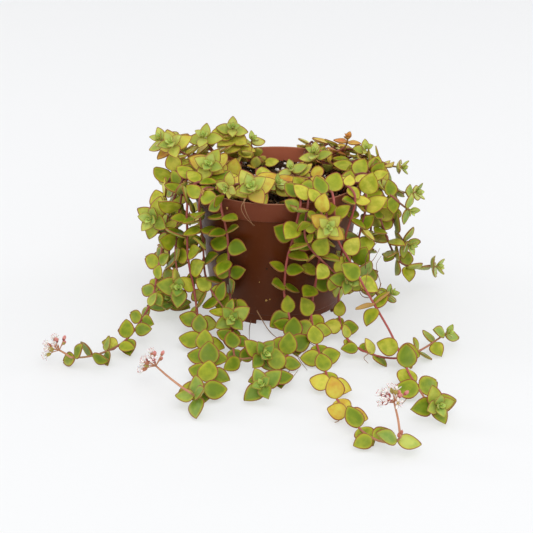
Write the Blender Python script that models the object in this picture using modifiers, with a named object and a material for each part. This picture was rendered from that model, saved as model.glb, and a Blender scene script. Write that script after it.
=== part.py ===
"""A trailing jade plant in a round plastic nursery pot.

The pot stands on z = 0 with its axis on +Z, and -Y is the front. Each leafy stem starts in a plain hole in
the soil, bends over the rim and trails down, some of them on along the surface. Opposite pairs of fleshy
leaves follow each other at right angles, and most stems end in a rosette. Places are in whole millimetres,
and MM turns them into Blender's metres.
"""

import math
import random
from collections import namedtuple

import bmesh
import bpy
from mathutils import Matrix, Vector
from mathutils.bvhtree import BVHTree

MM = 0.001
UP = Vector((0, 0, 1))

# The pot, in millimetres.
POT_HEIGHT = 94.5
RIM_RADIUS = 60.0
BAND_HEIGHT = 13.5
BAND_FOOT_RADIUS = 58.2
WALL_TOP_RADIUS = 57.0
WALL_FOOT_RADIUS = 46.6
FOOT_RADIUS = 46.0
BASE_RADIUS = 45.4
FOOT_HEIGHT = 8.0
WALL = 1.4
FLOOR_UNDERSIDE = 4.0
FLOOR_TOP = 5.6
CENTRE_FOOT_RADIUS = 11.0
NOTCH_COUNT = 6
NOTCH_WIDTH = 14.0
NOTCH_HEIGHT = 3.4
NOTCH_CORNER = 1.4
NOTCH_REACH = 5.0
FIRST_NOTCH_ANGLE = -100.0
DRAIN_COUNT = 6
DRAIN_SIDES = 8
DRAIN_RADIUS = 3.5
DRAIN_CIRCLE = 33.0
POT_STEPS = 32

# The soil.
SOIL_TOP = 85.0
SOIL_GAP = 0.35
SOIL_LUMP = 1.1
SOIL_STEPS = 24
SOIL_RINGS = (16.0, 32.0, 46.0)
ROOT_DEPTH = 10.0
HOLE_RADIUS = 1.75
HOLE_SIDES = 4

# The stems and leaves.
STEM_RADIUS = 0.92
TIP_RADIUS = 0.65
BEND_TOLERANCE = 0.75
LEAF_HALF_WIDTHS = ((0.22, 0.40), (0.60, 0.39))
LEAF_CUP = 0.05
LEAF_BELLY = 0.13
CLEARANCE = 0.4
FLOOR_CLEARANCE = 0.35
ROSETTE_STEP = 2.4
ROOT_OFFSET = 0.2
TRAIL_Z = 14.0
HIDDEN_SIDE = 0.0
LEAF_REST = 1.3
ROSETTE_BREADTH = 0.93
MOST_TILT = 95.0
TOP_TILT = 0.55
TRAIL_ROLL = 135.0
TRAIL_SWING = 38.0

# The blooms.
STALK_GAP = 0.4
STALK_STRAIGHT = 2.2
STALK_RADIUS = 0.65
PEDICEL_RADIUS = 0.4
PEDICEL_LENGTH = 6.8
PEDICEL_START = 0.35
PETAL_LENGTH = 3.3
PETAL_NOTCH = 1.2
PETAL_RISE = 0.7
STAR_DEPTH = 0.8
BUD_RADIUS = 1.2
BUD_LENGTH = 3.2
HUB = ((0, 0.9), (0.9, 1.25), (1.9, 0))

Vine = namedtuple("Vine", "name root route facing size gap far_gap pairs roll trail_tilt", defaults=(0.5,))
Bloom = namedtuple("Bloom", "name vine route head florets")
Floret = namedtuple("Floret", "base along length open")
Leaf = namedtuple("Leaf", "base along face length breadth")
Pair = namedtuple("Pair", "roll reflex tilt size")
Slot = namedtuple("Slot", "main make")

# Each route runs from above the soil, over the rim and down. Facing is the way the end rosette looks, and
# trail_tilt is how far the leaves near the surface turn their faces aside, as a share of MOST_TILT.
VINES = (
    Vine("stem_right_long", (26, -33), ((27, -38, 93), (30, -52, 99), (32, -60, 95), (32, -59, 84),
         (31, -55, 70), (28, -54, 54), (26, -53, 36), (23, -54, 20), (23, -61, 11), (25, -81, 7),
         (28, -108, 6), (31, -132, 6), (33, -153, 6), (37, -169, 6), (43, -190, 6), (48, -205, 6),
         (55, -216, 6), (62, -221, 6), (68, -223, 7)), (0.3, -0.4, 0.8), 14.5, 12.5, 20, 2, 20, 0.3),
    Vine("stem_right_diagonal", (33, -25), ((35, -31, 93), (36, -48, 99), (37, -57, 95), (37, -55, 86),
         (38, -51, 73), (42, -50, 61), (50, -56, 50), (59, -71, 37), (69, -88, 25), (75, -99, 17),
         (80, -121, 11), (83, -135, 8), (87, -151, 7), (90, -166, 7), (93, -178, 8)),
         (0.35, -0.85, 0.45), 15.5, 25, 14, 4, 60, 0.6),
    Vine("stem_left_long", (-38, -4), ((-42, -5, 94), (-54, -8, 99), (-63, -11, 97), (-68, -10, 87),
         (-74, -13, 73), (-79, -22, 50), (-82, -32, 36), (-85, -52, 22), (-92, -68, 14), (-97, -80, 10),
         (-103, -91, 8), (-111, -100, 7), (-121, -105, 6), (-130, -109, 6)),
         (-0.7, -0.5, 0.5), 12.5, 12.0, 10.5, 1, 0, 0.6),
    Vine("stem_left_centre", (-33, -21), ((-38, -23, 93), (-51, -28, 99), (-58, -31, 97),
         (-61, -35, 86), (-61, -37, 68), (-61, -40, 48), (-58, -43, 34), (-55, -51, 17), (-53, -66, 8),
         (-50, -90, 6), (-46, -106, 6), (-44, -126, 7), (-45, -148, 7), (-49, -167, 8)),
         (-0.5, -0.6, 0.6), 15.5, 13.0, 12.5, 3, 90, 0.4),
    Vine("stem_front_middle", (13, -38), ((14, -44, 93), (15, -56, 99), (15, -63, 95), (13, -64, 86),
         (11, -61, 75), (9, -59, 65), (6, -59, 55), (5, -58, 42), (4, -56, 30), (7, -57, 17),
         (10, -72, 7), (9, -92, 6), (4, -112, 6), (-1, -130, 7), (-6, -145, 7), (-9, -153, 8)),
         (-0.15, -0.75, 0.6), 15.0, 12.5, 13, 3, 45),
    Vine("stem_front_left", (-24, -35), ((-27, -40, 93), (-34, -48, 99), (-38, -53, 96), (-37, -55, 86),
         (-34, -53, 75), (-33, -51, 62), (-33, -49, 50), (-32, -49, 38), (-32, -50, 27), (-32, -57, 16),
         (-30, -75, 11), (-29, -96, 8), (-28, -112, 8), (-21, -118, 10), (-13, -118, 12)),
         (0.45, -0.75, 0.55), 14.5, 12.0, 13.0, 4, 0),
    Vine("stem_right_low", (38, -14), ((42, -20, 93), (47, -37, 99), (52, -44, 95), (51, -44, 84),
         (47, -43, 70), (43, -43, 53), (42, -41, 34), (42, -42, 18), (42, -52, 10), (44, -74, 8),
         (49, -89, 6), (59, -101, 6), (69, -106, 5), (80, -107, 5), (92, -99, 6), (101, -90, 7),
         (109, -82, 9)), (0.65, -0.3, 0.6), 11.5, 15.0, 15, 2, 30, 0.8),
    Vine("stem_centre_rosette", (4, -12), ((1, -15, 91), (-9, -25, 97), (-15, -36, 98), (-17, -46, 98)),
         (-0.05, -0.75, 0.65), 17.5, 10.0, 10.0, 4, 50),
    Vine("stem_left_side_rosette", (-46, 4), ((-49, 4, 93), (-57, 3, 99), (-66, 1, 99), (-73, 0, 94),
         (-77, -3, 84), (-80, -8, 74), (-82, -14, 68)), (-0.45, -0.85, 0.2), 16.0, 10.5, 10.5, 4, 45),
    Vine("stem_left_top_rosette", (-30, 4), ((-32, 2, 91), (-41, -4, 98), (-46, -11, 102)),
         (-0.05, -0.8, 0.6), 16.0, 9.5, 9.5, 4, 0),
    Vine("stem_left_hang_rosette", (-40, -14), ((-44, -16, 93), (-56, -19, 99), (-63, -21, 97),
         (-65, -22, 88), (-67, -25, 75), (-69, -29, 60), (-70, -33, 46), (-68, -38, 34),
         (-66, -42, 27)), (-0.05, -0.9, 0.4), 17.0, 12.0, 12.0, 4, 20),
    Vine("stem_front_left_short", (-30, -29), ((-35, -33, 93), (-46, -38, 99), (-51, -42, 96),
         (-53, -43, 86), (-51, -42, 70), (-50, -42, 55), (-50, -42, 41), (-47, -46, 30), (-41, -56, 25),
         (-34, -65, 19), (-30, -71, 16)), (0.0, -0.85, 0.5), 14.0, 12.5, 12.5, 3, 70),
    Vine("stem_front_rosette", (21, -30), ((23, -36, 93), (25, -52, 99), (27, -62, 97), (29, -67, 88),
         (32, -69, 82)), (0.1, -0.95, 0.35), 13.5, 9.0, 9.0, 4, 0),
    Vine("stem_front_right_short", (17, -28), ((19, -36, 94), (20, -53, 100), (20, -63, 97),
         (18, -66, 86), (17, -66, 76), (20, -66, 67), (27, -64, 59), (34, -61, 50), (41, -57, 42),
         (46, -54, 38)), (0.3, -0.85, 0.3), 14.5, 12.0, 12.0, 3, 30),
    Vine("stem_right_front", (44, -18), ((47, -22, 93), (54, -29, 99), (59, -33, 96), (60, -36, 86),
         (58, -40, 76), (55, -44, 67), (53, -47, 57), (53, -48, 47), (54, -48, 40)),
         (0.3, -0.7, -0.4), 16.5, 13.0, 13.0, 2, 0),
    Vine("stem_right_hang", (46, -3), ((49, -6, 93), (58, -10, 99), (65, -10, 95), (68, -8, 84),
         (70, -5, 70), (73, -2, 59), (78, 0, 45), (83, 3, 33), (88, 5, 25), (95, 6, 22), (103, 7, 22),
         (109, 7, 22)), (0.95, -0.3, 0.1), 14.0, 9.5, 8.0, 2, 40, 0.8),
    Vine("stem_right_star", (44, 9), ((48, 8, 93), (58, 6, 99), (66, 5, 95), (71, 5, 84), (76, 6, 73),
         (80, 7, 63), (83, 8, 54), (86, 7, 47), (88, 5, 43)),
         (0.7, -0.6, -0.2), 14.0, 10.5, 10.5, 3, 10),
    Vine("stem_right_out", (44, 19), ((47, 19, 93), (57, 18, 99), (67, 17, 94), (75, 15, 86),
         (81, 12, 80), (87, 10, 77), (93, 9, 77)), (0.8, -0.5, 0.3), 14.0, 10.5, 10.5, 2, 60),
    Vine("stem_right_out_low", (49, 2), ((52, 1, 93), (60, -2, 99), (67, -4, 93), (75, -6, 84),
         (82, -7, 78), (88, -8, 73)), (0.7, -0.6, -0.2), 12.0, 10.0, 10.0, 2, 0),
    Vine("stem_top_right_chain", (40, 22), ((43, 23, 93), (52, 26, 98), (61, 31, 97), (70, 31, 95),
         (77, 28, 92), (83, 26, 90)), (0.95, -0.1, 0.1), 12.0, 6.5, 6.5, 2, 80),
    Vine("stem_top_right_tip", (28, 34), ((31, 35, 91), (41, 35, 98), (51, 32, 102), (60, 25, 102)),
         (0.3, -0.7, 0.6), 9.5, 8.0, 8.0, 3, 40),
    Vine("stem_top_right_star", (20, 30), ((23, 30, 91), (33, 28, 98), (43, 26, 102), (49, 27, 106)),
         (0.1, -0.1, 0.98), 10.0, 8.5, 8.5, 2, 0),
    Vine("stem_right_over_soil", (38, 18), ((38, 17, 91), (40, 12, 97), (34, 10, 99), (28, 10, 101)),
         (-0.3, -0.4, 0.85), 12.5, 8.5, 8.5, 3, 0),
    Vine("stem_inner_right", (30, 2), ((30, -2, 91), (26, -10, 95), (18, -12, 96), (11, -8, 97)),
         (-0.3, -0.4, 0.85), 12.0, 9.0, 9.0, 2, 20),
    Vine("stem_inner_small", (8, -25), ((6, -27, 90), (0, -30, 93), (-3, -33, 96)),
         (0.5, -0.4, 0.75), 12.0, 7.0, 7.0, 2, 60),
    Vine("stem_left_front_rosette", (-18, -24), ((-20, -29, 94), (-25, -40, 102), (-30, -48, 103)),
         (-0.45, -0.85, 0.1), 11.0, 9.0, 9.0, 3, 40),
    Vine("stem_top_left_tip", (-30, 22), ((-33, 22, 91), (-43, 20, 102), (-49, 17, 112)),
         (-0.25, -0.6, 0.75), 13.0, 9.5, 9.5, 3, 0),
    Vine("stem_top_left_star", (-14, 24), ((-15, 26, 90), (-21, 32, 99), (-27, 34, 104), (-31, 33, 109),
         (-32, 32, 114)), (0.1, -0.7, 0.7), 11.5, 8.0, 8.0, 3, 20),
    Vine("stem_top_left_small", (-7, 33), ((-9, 34, 90), (-15, 37, 97), (-19, 36, 103)),
         (0.3, -0.35, 0.9), 12.0, 8.0, 8.0, 2, 50),
    Vine("stem_left_cluster_front", (-42, 12), ((-45, 12, 92), (-56, 12, 100), (-65, 10, 106),
         (-70, 7, 110)), (-0.3, -0.65, 0.7), 14.5, 9.0, 9.0, 4, 30),
    Vine("stem_left_cluster_back", (-40, 23), ((-44, 24, 92), (-57, 26, 100), (-70, 25, 105),
         (-77, 23, 108)), (-0.6, -0.4, 0.7), 13.5, 9.5, 9.5, 3, 0),
    Vine("stem_left_back_hang", (-47, 14), ((-50, 15, 94), (-59, 15, 100), (-68, 14, 95), (-73, 11, 76),
         (-75, 7, 56), (-76, 2, 38), (-77, -6, 22), (-77, -16, 10), (-75, -27, 6)),
         (-0.1, -0.5, 0.8), 15.5, 12.0, 12.0, 3, 10),
    Vine("stem_right_back_hang", (38, 30), ((42, 34, 95), (50, 39, 100), (60, 41, 95), (67, 35, 74),
         (68, 26, 50), (66, 16, 28), (66, 5, 14), (70, -12, 9), (74, -21, 9)),
         (0.7, -0.2, 0.6), 11.0, 13.0, 12.0, 3, 45),
    Vine("stem_back_right", (28, 40), ((30, 43, 95), (36, 50, 100), (42, 57, 95), (44, 59, 76),
         (42, 60, 55), (38, 62, 34), (32, 67, 15), (24, 76, 7), (15, 84, 8)),
         (-0.3, 0.5, 0.8), 14.0, 15.0, 15.0, 3, 30),
    Vine("stem_back_middle", (18, 46), ((20, 49, 93), (25, 58, 99), (27, 65, 92), (22, 68, 74),
         (15, 69, 55), (8, 68, 38), (4, 68, 26)), (0.0, 0.9, 0.2), 14.0, 14.0, 14.0, 3, 0),
    Vine("stem_back_left", (-26, 41), ((-29, 44, 95), (-35, 50, 100), (-41, 57, 95), (-42, 60, 75),
         (-39, 61, 54), (-36, 62, 34), (-33, 68, 15), (-30, 82, 7), (-30, 92, 8)),
         (-0.1, 0.6, 0.8), 14.0, 15.0, 15.0, 3, 60),
    Vine("stem_back_left_short", (-18, 47), ((-20, 50, 93), (-24, 58, 99), (-25, 65, 92), (-21, 67, 76),
         (-17, 67, 62), (-15, 67, 52)), (0.1, 0.95, 0.1), 14.0, 13.0, 13.0, 3, 20),
    Vine("stem_back_right_side", (32, 36), ((35, 39, 95), (42, 45, 100), (50, 49, 95), (51, 50, 76),
         (47, 50, 60), (44, 51, 48)), (0.4, 0.8, 0.1), 14.0, 13.0, 13.0, 3, 50),
    Vine("stem_back_left_side", (-38, 31), ((-42, 34, 95), (-48, 38, 100), (-56, 43, 95), (-58, 44, 74),
         (-55, 43, 56), (-52, 44, 42), (-50, 45, 34)), (-0.5, 0.8, 0.1), 14.0, 14.0, 14.0, 3, 0),
)

BLOOMS = (
    Bloom("bloom_left", "stem_left_long", ((-138, -108, 9), (-142, -107, 11)), (-0.6, 0.35, 0.75), 10),
    Bloom("bloom_centre", "stem_left_centre", ((-60, -168, 16), (-69, -154, 16), (-77, -140, 16)),
          (-0.5, 0.4, 0.75), 10),
    Bloom("bloom_right", "stem_right_long", ((70, -227, 15), (69, -222, 22), (67, -216, 30)),
          (-0.1, 0.0, 1.0), 10),
)


def profile_of_pot():
    """The pot's section from the axis over its inner floor, up inside, over the rim and down outside."""
    band_z = POT_HEIGHT - BAND_HEIGHT
    return (
        (0.0, FLOOR_TOP),
        (BASE_RADIUS - WALL - 1.0, FLOOR_TOP),
        (WALL_FOOT_RADIUS - WALL, FOOT_HEIGHT + 1.0),
        (WALL_TOP_RADIUS - WALL, band_z),
        (RIM_RADIUS - WALL, POT_HEIGHT - 0.5),
        (RIM_RADIUS - WALL + 0.4, POT_HEIGHT),
        (RIM_RADIUS - 0.4, POT_HEIGHT),
        (RIM_RADIUS, POT_HEIGHT - 0.5),
        (BAND_FOOT_RADIUS, band_z),
        (WALL_TOP_RADIUS, band_z - 0.3),
        (WALL_FOOT_RADIUS, FOOT_HEIGHT),
        (FOOT_RADIUS, FOOT_HEIGHT - 0.4),
        (BASE_RADIUS, 0.0),
        (BASE_RADIUS - 2.0, 0.0),
        (BASE_RADIUS - 2.3, FLOOR_UNDERSIDE),
        (CENTRE_FOOT_RADIUS + 0.5, FLOOR_UNDERSIDE),
        (CENTRE_FOOT_RADIUS, 0.0),
        (0.0, 0.0),
    )


def soil_height(x, y):
    """The lumpy top of the soil, in millimetres."""
    lump = math.sin(0.31 * x + 1.0) * math.cos(0.27 * y - 0.4) + 0.6 * math.sin(0.13 * x - 0.19 * y)
    return SOIL_TOP + SOIL_LUMP * lump


def smooth_route(points, step=1.0):
    """Points about a millimetre apart on a smooth curve through the given ones."""
    ends = [points[0] * 2 - points[1]] + points + [points[-1] * 2 - points[-2]]
    line = []
    for a, b, c, d in zip(ends, ends[1:], ends[2:], ends[3:]):
        count = max(2, round((c - b).length / step))
        for i in range(count):
            t = i / count
            line.append(0.5 * (2 * b + (c - a) * t + (2 * a - 5 * b + 4 * c - d) * t * t
                               + (3 * b - a - 3 * c + d) * t ** 3))
    line.append(points[-1].copy())
    return line


def farthest_from_chord(line, first, last):
    a, b = line[first], line[last]
    along = (b - a).normalized()
    return max(((p - a) - along * (p - a).dot(along)).length for p in line[first:last + 1])


def polyline_of(vine):
    """The stem's corners: one internode apart where it runs straight, closer where it bends."""
    x, y = vine.root
    start = Vector((x, y, soil_height(x, y) + 1.5))
    end = Vector(vine.route[-1])
    facing = Vector(vine.facing).normalized()
    stops = [start] + [Vector(p) for p in vine.route] + [end + facing * (ROSETTE_STEP * vine.pairs + 1.0)]
    line = smooth_route(stops)
    corners = [Vector((x, y, soil_height(x, y) - ROOT_DEPTH)), line[0]]
    first = 0
    while first < len(line) - 1:
        last = first + 1
        reach = vine.far_gap if line[first].z < TRAIL_Z else vine.gap
        while last + 1 < len(line) and (line[last + 1] - line[first]).length <= reach:
            if farthest_from_chord(line, first, last + 1) > BEND_TOLERANCE:
                break
            last += 1
        corners.append(line[last])
        first = last
    if (corners[-1] - corners[-2]).length < 2.5:
        del corners[-2]
    return corners


def leaf_points(leaf, grow=0.0, raised=0.0):
    """The outline from the base round the tip, and the belly point under the middle."""
    side = leaf.face.cross(leaf.along)

    def at(x, y, z):
        return leaf.base + leaf.along * x + side * y + leaf.face * z

    size = leaf.length
    cup = LEAF_CUP * size + raised
    half_widths = [(x, w * size * leaf.breadth + grow) for x, w in LEAF_HALF_WIDTHS]
    left = [at(x * size, w, cup * min(1.0, x * 4)) for x, w in half_widths]
    right = [at(x * size, -w, cup * min(1.0, x * 4)) for x, w in half_widths]
    outline = [at(-grow, 0, raised)] + left + [at(size + grow, 0, raised)] + right[::-1]
    return outline, at(0.45 * size, 0, raised - LEAF_BELLY * size)


TOP_FACES = ((0, 5, 1), (1, 5, 3), (1, 3, 2), (3, 5, 4))
OUTLINE_COUNT = 6


def leaf_faces():
    """A shallow dish with its sides turned up, over a fan to the belly point."""
    under = [(OUTLINE_COUNT, i, (i + 1) % OUTLINE_COUNT) for i in range(OUTLINE_COUNT)]
    return list(TOP_FACES) + under


def guard_tree(leaf, gap=CLEARANCE):
    """The leaf's shape grown by the clearance on every side, for finding what would cross it."""
    upper, _ = leaf_points(leaf, gap, gap)
    lower, belly = leaf_points(leaf, gap, -gap)
    points = upper + lower + [belly]
    count = OUTLINE_COUNT
    walls = [(i, (i + 1) % count, count + (i + 1) % count, count + i) for i in range(count)]
    under = [(2 * count, count + i, count + (i + 1) % count) for i in range(count)]
    return BVHTree.FromPolygons(points, list(TOP_FACES) + walls + under)


def outer_half(leaf):
    """The leaf without its root, for finding leaves of one stem that cross beyond their bases."""
    outline, belly = leaf_points(leaf)
    waist = leaf.base + leaf.along * (0.3 * leaf.length)
    points = [waist + (p - waist) * 0.97 for p in outline[1:]] + [waist, belly]
    faces = [(5, i + 1, i) for i in range(4)] + [(6, i, i + 1) for i in range(4)] + [(5, 0, 6), (6, 4, 5)]
    return BVHTree.FromPolygons(points, faces)


def tubes_tree(lines, radius):
    """Six-sided tubes round lines of corners."""
    points, faces = [], []
    for corners in lines:
        for i, corner in enumerate(corners):
            along = (corners[min(i + 1, len(corners) - 1)] - corners[max(i - 1, 0)]).normalized()
            side = along.orthogonal().normalized()
            first = len(points)
            for k in range(6):
                turn = Matrix.Rotation(k * math.pi / 3, 3, along)
                points.append(corner + (turn @ side) * radius)
            if i:
                for k in range(6):
                    n = (k + 1) % 6
                    faces.append((first - 6 + k, first - 6 + n, first + n, first + k))
    return BVHTree.FromPolygons(points, faces)


def turned_tree(profile, steps=48):
    points, faces = [], []
    for i in range(steps):
        angle = 2 * math.pi * i / steps
        points += [Vector((r * math.cos(angle), r * math.sin(angle), z)) for r, z in profile]
    count = len(profile)
    for i in range(steps):
        for k in range(count - 1):
            n = (i + 1) % steps
            faces.append((i * count + k, n * count + k, n * count + k + 1, i * count + k + 1))
    return BVHTree.FromPolygons(points, faces)


def pot_guard():
    """The pot's wall and rim and the soil's top, grown by the clearance."""
    grow = CLEARANCE + 0.2
    band_z = POT_HEIGHT - BAND_HEIGHT
    return turned_tree((
        (0.01, SOIL_TOP + 1.5 * SOIL_LUMP + grow),
        (WALL_TOP_RADIUS - WALL - grow, SOIL_TOP + 1.5 * SOIL_LUMP + grow),
        (RIM_RADIUS - WALL - grow, POT_HEIGHT + grow),
        (RIM_RADIUS + grow, POT_HEIGHT + grow),
        (BAND_FOOT_RADIUS + grow, band_z - grow),
        (WALL_TOP_RADIUS + grow, band_z - grow),
        (BASE_RADIUS + grow, 0.0),
    ))


def stalk_of(bloom, corners):
    """The bloom's stalk, from just past the stem's end to where the flower stalks part."""
    along = (corners[-1] - corners[-2]).normalized()
    first = [corners[-1] + along * reach for reach in (STALK_GAP, STALK_STRAIGHT)]
    return first + [Vector(p) for p in bloom.route]


def florets_of(bloom):
    """The umbel's florets, spread evenly round the way the head looks."""
    draw = random.Random(bloom.name)
    axis = Vector(bloom.head).normalized()
    side = axis.orthogonal().normalized()
    found = []
    for i in range(bloom.florets):
        opening = math.radians(78) * math.sqrt((i + 0.4) / bloom.florets)
        out = Matrix.Rotation(i * math.radians(137.5), 3, axis) @ side
        along = (axis * math.cos(opening) + out * math.sin(opening)).normalized()
        length = PEDICEL_LENGTH * draw.uniform(0.85, 1.15)
        found.append(Floret(Vector(bloom.route[-1]) + along * 0.3, along, length, i % 3 != 2))
    return found


def light_at(point):
    """Where leaves turn their faces: outwards on a hanging stem, more upwards on top and on the surface."""
    outward = Vector((point.x, point.y, 0)).normalized()
    front = Vector((0, -1, 0)) if point.y < 10 else outward
    if point.z < TRAIL_Z:
        return (front * 0.75 + outward * 0.2 + UP * 0.7).normalized()
    if point.z < 92:
        return (outward * 0.7 + front * 0.45 + UP * 0.45).normalized()
    return (outward * 0.2 + front * 0.5 + UP * 0.75).normalized()


def leaf_out(point, along, roll):
    """The way a leaf would point straight out of the stem, turned by roll from the level."""
    level = along.cross(UP)
    if level.length < 0.2:
        level = along.cross(Vector((point.x, point.y, 0)))
    return Matrix.Rotation(roll, 3, along) @ level.normalized()


def turned_aside(point, along, direction, face, angle):
    """The face turned about the leaf's length: towards the sky, or along a stem that crosses the view."""
    aside = along if point.z < TRAIL_Z and abs(along.y) < 0.7 else UP
    across = direction.cross(face)
    lean = across.dot(aside)
    angle *= (0.4 + 0.6 * abs(lean)) * math.copysign(1, lean)
    return (face * math.cos(angle) + across * math.sin(angle)).normalized()


def stem_leaf(point, along, pair, turn, bend, scale):
    """One leaf of a pair on the open stem, turned towards the light and bent back along the stem."""
    out = leaf_out(point, along, pair.roll + turn)
    light = light_at(point)
    shown = out.dot(light)
    reflex = (pair.reflex + bend) * (1 if shown > -0.1 else -0.8)
    direction = (out - light * (0.72 * shown) - along * reflex).normalized()
    face = light * 0.8 + along * 0.25
    face = (face - direction * face.dot(direction)).normalized()
    face = turned_aside(point, along, direction, face, pair.tilt)
    return Leaf(point + direction * ROOT_OFFSET, direction, face, pair.size * scale, 1.0)


def rosette_leaf(point, axis, roll, opening, size):
    """One leaf of a pair in an end rosette, opened from the axis."""
    out = Matrix.Rotation(roll, 3, axis) @ axis.cross(Vector((0.3, 1, 0.1))).normalized()
    direction = (out * math.sin(opening) + axis * math.cos(opening)).normalized()
    face = (axis - direction * axis.dot(direction)).normalized()
    return Leaf(point + direction * ROOT_OFFSET, direction, face, size, ROSETTE_BREADTH)


def off_surface(leaf):
    """The leaf raised about its base, where its tip would reach into the surface."""
    least = (LEAF_REST - leaf.base.z) / leaf.length
    level = Vector((leaf.along.x, leaf.along.y, 0))
    if leaf.along.z >= least or level.length < 0.05:
        return leaf
    raised = level.normalized() * math.sqrt(1 - least * least) + UP * least
    face = (leaf.face - raised * leaf.face.dot(raised)).normalized()
    return leaf._replace(along=raised, face=face)


TRIES = ((0, 0, 1.0), (14, 0, 1.0), (-14, 0, 1.0), (28, 0.15, 0.95), (-28, 0.15, 0.95), (0, 0.5, 0.92),
         (45, 0, 0.9), (-45, 0, 0.9), (0, -0.3, 0.88), (60, 0.3, 0.82), (-60, 0.3, 0.82), (20, 0.6, 0.75),
         (-20, 0.6, 0.75), (85, 0, 0.72), (-85, 0, 0.72), (0, 0.2, 0.62), (40, 0.4, 0.6), (-40, 0.4, 0.6))


class Arrangement:
    """Places every leaf so that it keeps clear of the pot, the surface and all other stems."""

    def __init__(self):
        self.corners = {vine.name: polyline_of(vine) for vine in VINES}
        grown = STEM_RADIUS + CLEARANCE
        self.stems = {name: tubes_tree([line], grown) for name, line in self.corners.items()}
        for bloom in BLOOMS:
            stalk = stalk_of(bloom, self.corners[bloom.vine])
            pedicels = [[f.base, f.base + f.along * (f.length + 3.5)] for f in florets_of(bloom)]
            self.stems[bloom.name] = tubes_tree([stalk], STALK_RADIUS + CLEARANCE)
            self.stems[bloom.name + "_florets"] = tubes_tree(pedicels, PETAL_LENGTH * 0.6)
        self.pot = pot_guard()
        self.placed = []
        self.leaves = {vine.name: self.place(vine, True) for vine in VINES}

    def is_clear(self, leaf, name):
        outline, belly = leaf_points(leaf)
        if min(p.z for p in outline + [belly]) < FLOOR_CLEARANCE:
            return False
        guard = guard_tree(leaf)
        if guard.overlap(self.pot):
            return False
        middle = leaf.base + leaf.along * (leaf.length / 2)
        if middle.z < SOIL_TOP + 1 and math.hypot(middle.x, middle.y) < BASE_RADIUS:
            return False
        for other, tree in self.stems.items():
            if other != name and guard.overlap(tree):
                return False
        own = outer_half(leaf)
        for other, centre, reach, tree, outer in self.placed:
            if (centre - middle).length > reach + leaf.length:
                continue
            if own.overlap(outer) if other == name else guard.overlap(tree):
                return False
        return True

    def keep(self, leaf, name):
        middle = leaf.base + leaf.along * (leaf.length / 2)
        self.placed.append((name, middle, leaf.length, guard_tree(leaf, 0.0), outer_half(leaf)))

    def first_clear(self, name, make):
        for turn, bend, scale in TRIES:
            leaf = off_surface(make(math.radians(turn), bend, scale))
            if self.is_clear(leaf, name):
                self.keep(leaf, name)
                return [leaf]
        return []

    def place(self, vine, main):
        """The stem's main leaves, or the small and hidden ones between them."""
        found = []
        for slot in leaf_slots(vine, self.corners[vine.name]):
            if slot.main == main:
                found += self.first_clear(vine.name, slot.make)
        return found


def rosette_slots(vine, corners, draw):
    """The pairs round the stem's end, from the outer one in. Only the two outer pairs are main leaves."""
    slots = []
    axis = (corners[-1] - corners[-2]).normalized()
    for pair in range(vine.pairs):
        share = pair / max(vine.pairs - 1, 1)
        point = corners[-1] - axis * (ROSETTE_STEP * (vine.pairs - 1 - pair) + 0.6)
        opening = math.radians(88 - 38 * share + draw.uniform(-5, 5))
        size = vine.size * (1.0 - 0.42 * share)
        roll = math.radians(vine.roll + 90 * pair + draw.uniform(-9, 9))
        for half in (0, math.pi):
            def make(turn, bend, scale, point=point, opening=opening, size=size, roll=roll + half):
                return rosette_leaf(point, axis, roll + 0.35 * turn, opening - bend * 0.5, size * scale)
            slots.append(Slot(pair < 2, make))
    return slots


def pair_roll(vine, point, order):
    """Pairs cross each other down a hanging stem. Near the surface they swing to and fro instead."""
    if point.z > TRAIL_Z:
        return vine.roll + 90 * order
    return TRAIL_ROLL + (TRAIL_SWING if order % 2 else -TRAIL_SWING)


def tilt_share(vine, point):
    """How far leaves turn their faces aside there, as a share of MOST_TILT."""
    if point.z < TRAIL_Z:
        return vine.trail_tilt
    return 1.0 if point.z < POT_HEIGHT - 2 else TOP_TILT


def pair_slots(vine, corners, draw):
    """The pairs down the open stem, each at the middle of an internode, from the end towards the root."""
    slots = []
    walked = 0.0
    last_pair = ROSETTE_STEP * (vine.pairs - 1)
    order = 0
    for a, b in zip(corners[-2:0:-1], corners[:0:-1]):
        length = (b - a).length
        middle = (a + b) / 2
        distance = walked + length / 2
        walked += length
        in_soil = math.hypot(middle.x, middle.y) < WALL_TOP_RADIUS and middle.z < SOIL_TOP + 4
        if in_soil or length < 0.4 * vine.gap or distance - last_pair < 0.75 * vine.gap:
            continue
        last_pair = distance
        order += 1
        along = (b - a).normalized()
        roll = pair_roll(vine, middle, order) + draw.uniform(-16, 16)
        reflex = draw.uniform(0.1, 0.65)
        tilt = MOST_TILT * tilt_share(vine, middle) * draw.random() ** 0.7
        size = vine.size * draw.uniform(0.86, 1.08)
        for half in (0, 180):
            pair = Pair(math.radians(roll + half), reflex, math.radians(tilt + draw.uniform(-14, 14)), size)

            def make(turn, bend, scale, middle=middle, along=along, pair=pair):
                return stem_leaf(middle, along, pair, turn, bend, scale)
            hidden = leaf_out(middle, along, pair.roll).dot(light_at(middle)) < HIDDEN_SIDE
            slots.append(Slot(not hidden, make))
    return slots


def leaf_slots(vine, corners):
    draw = random.Random(vine.name)
    return rosette_slots(vine, corners, draw) + pair_slots(vine, corners, draw)


def new_material(name, colour, roughness):
    material = bpy.data.materials.new(name)
    material.use_nodes = True
    shader = material.node_tree.nodes["Principled BSDF"]
    shader.inputs["Base Color"].default_value = (*colour, 1)
    shader.inputs["Roughness"].default_value = roughness
    material.diffuse_color = (*colour, 1)
    return material


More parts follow.
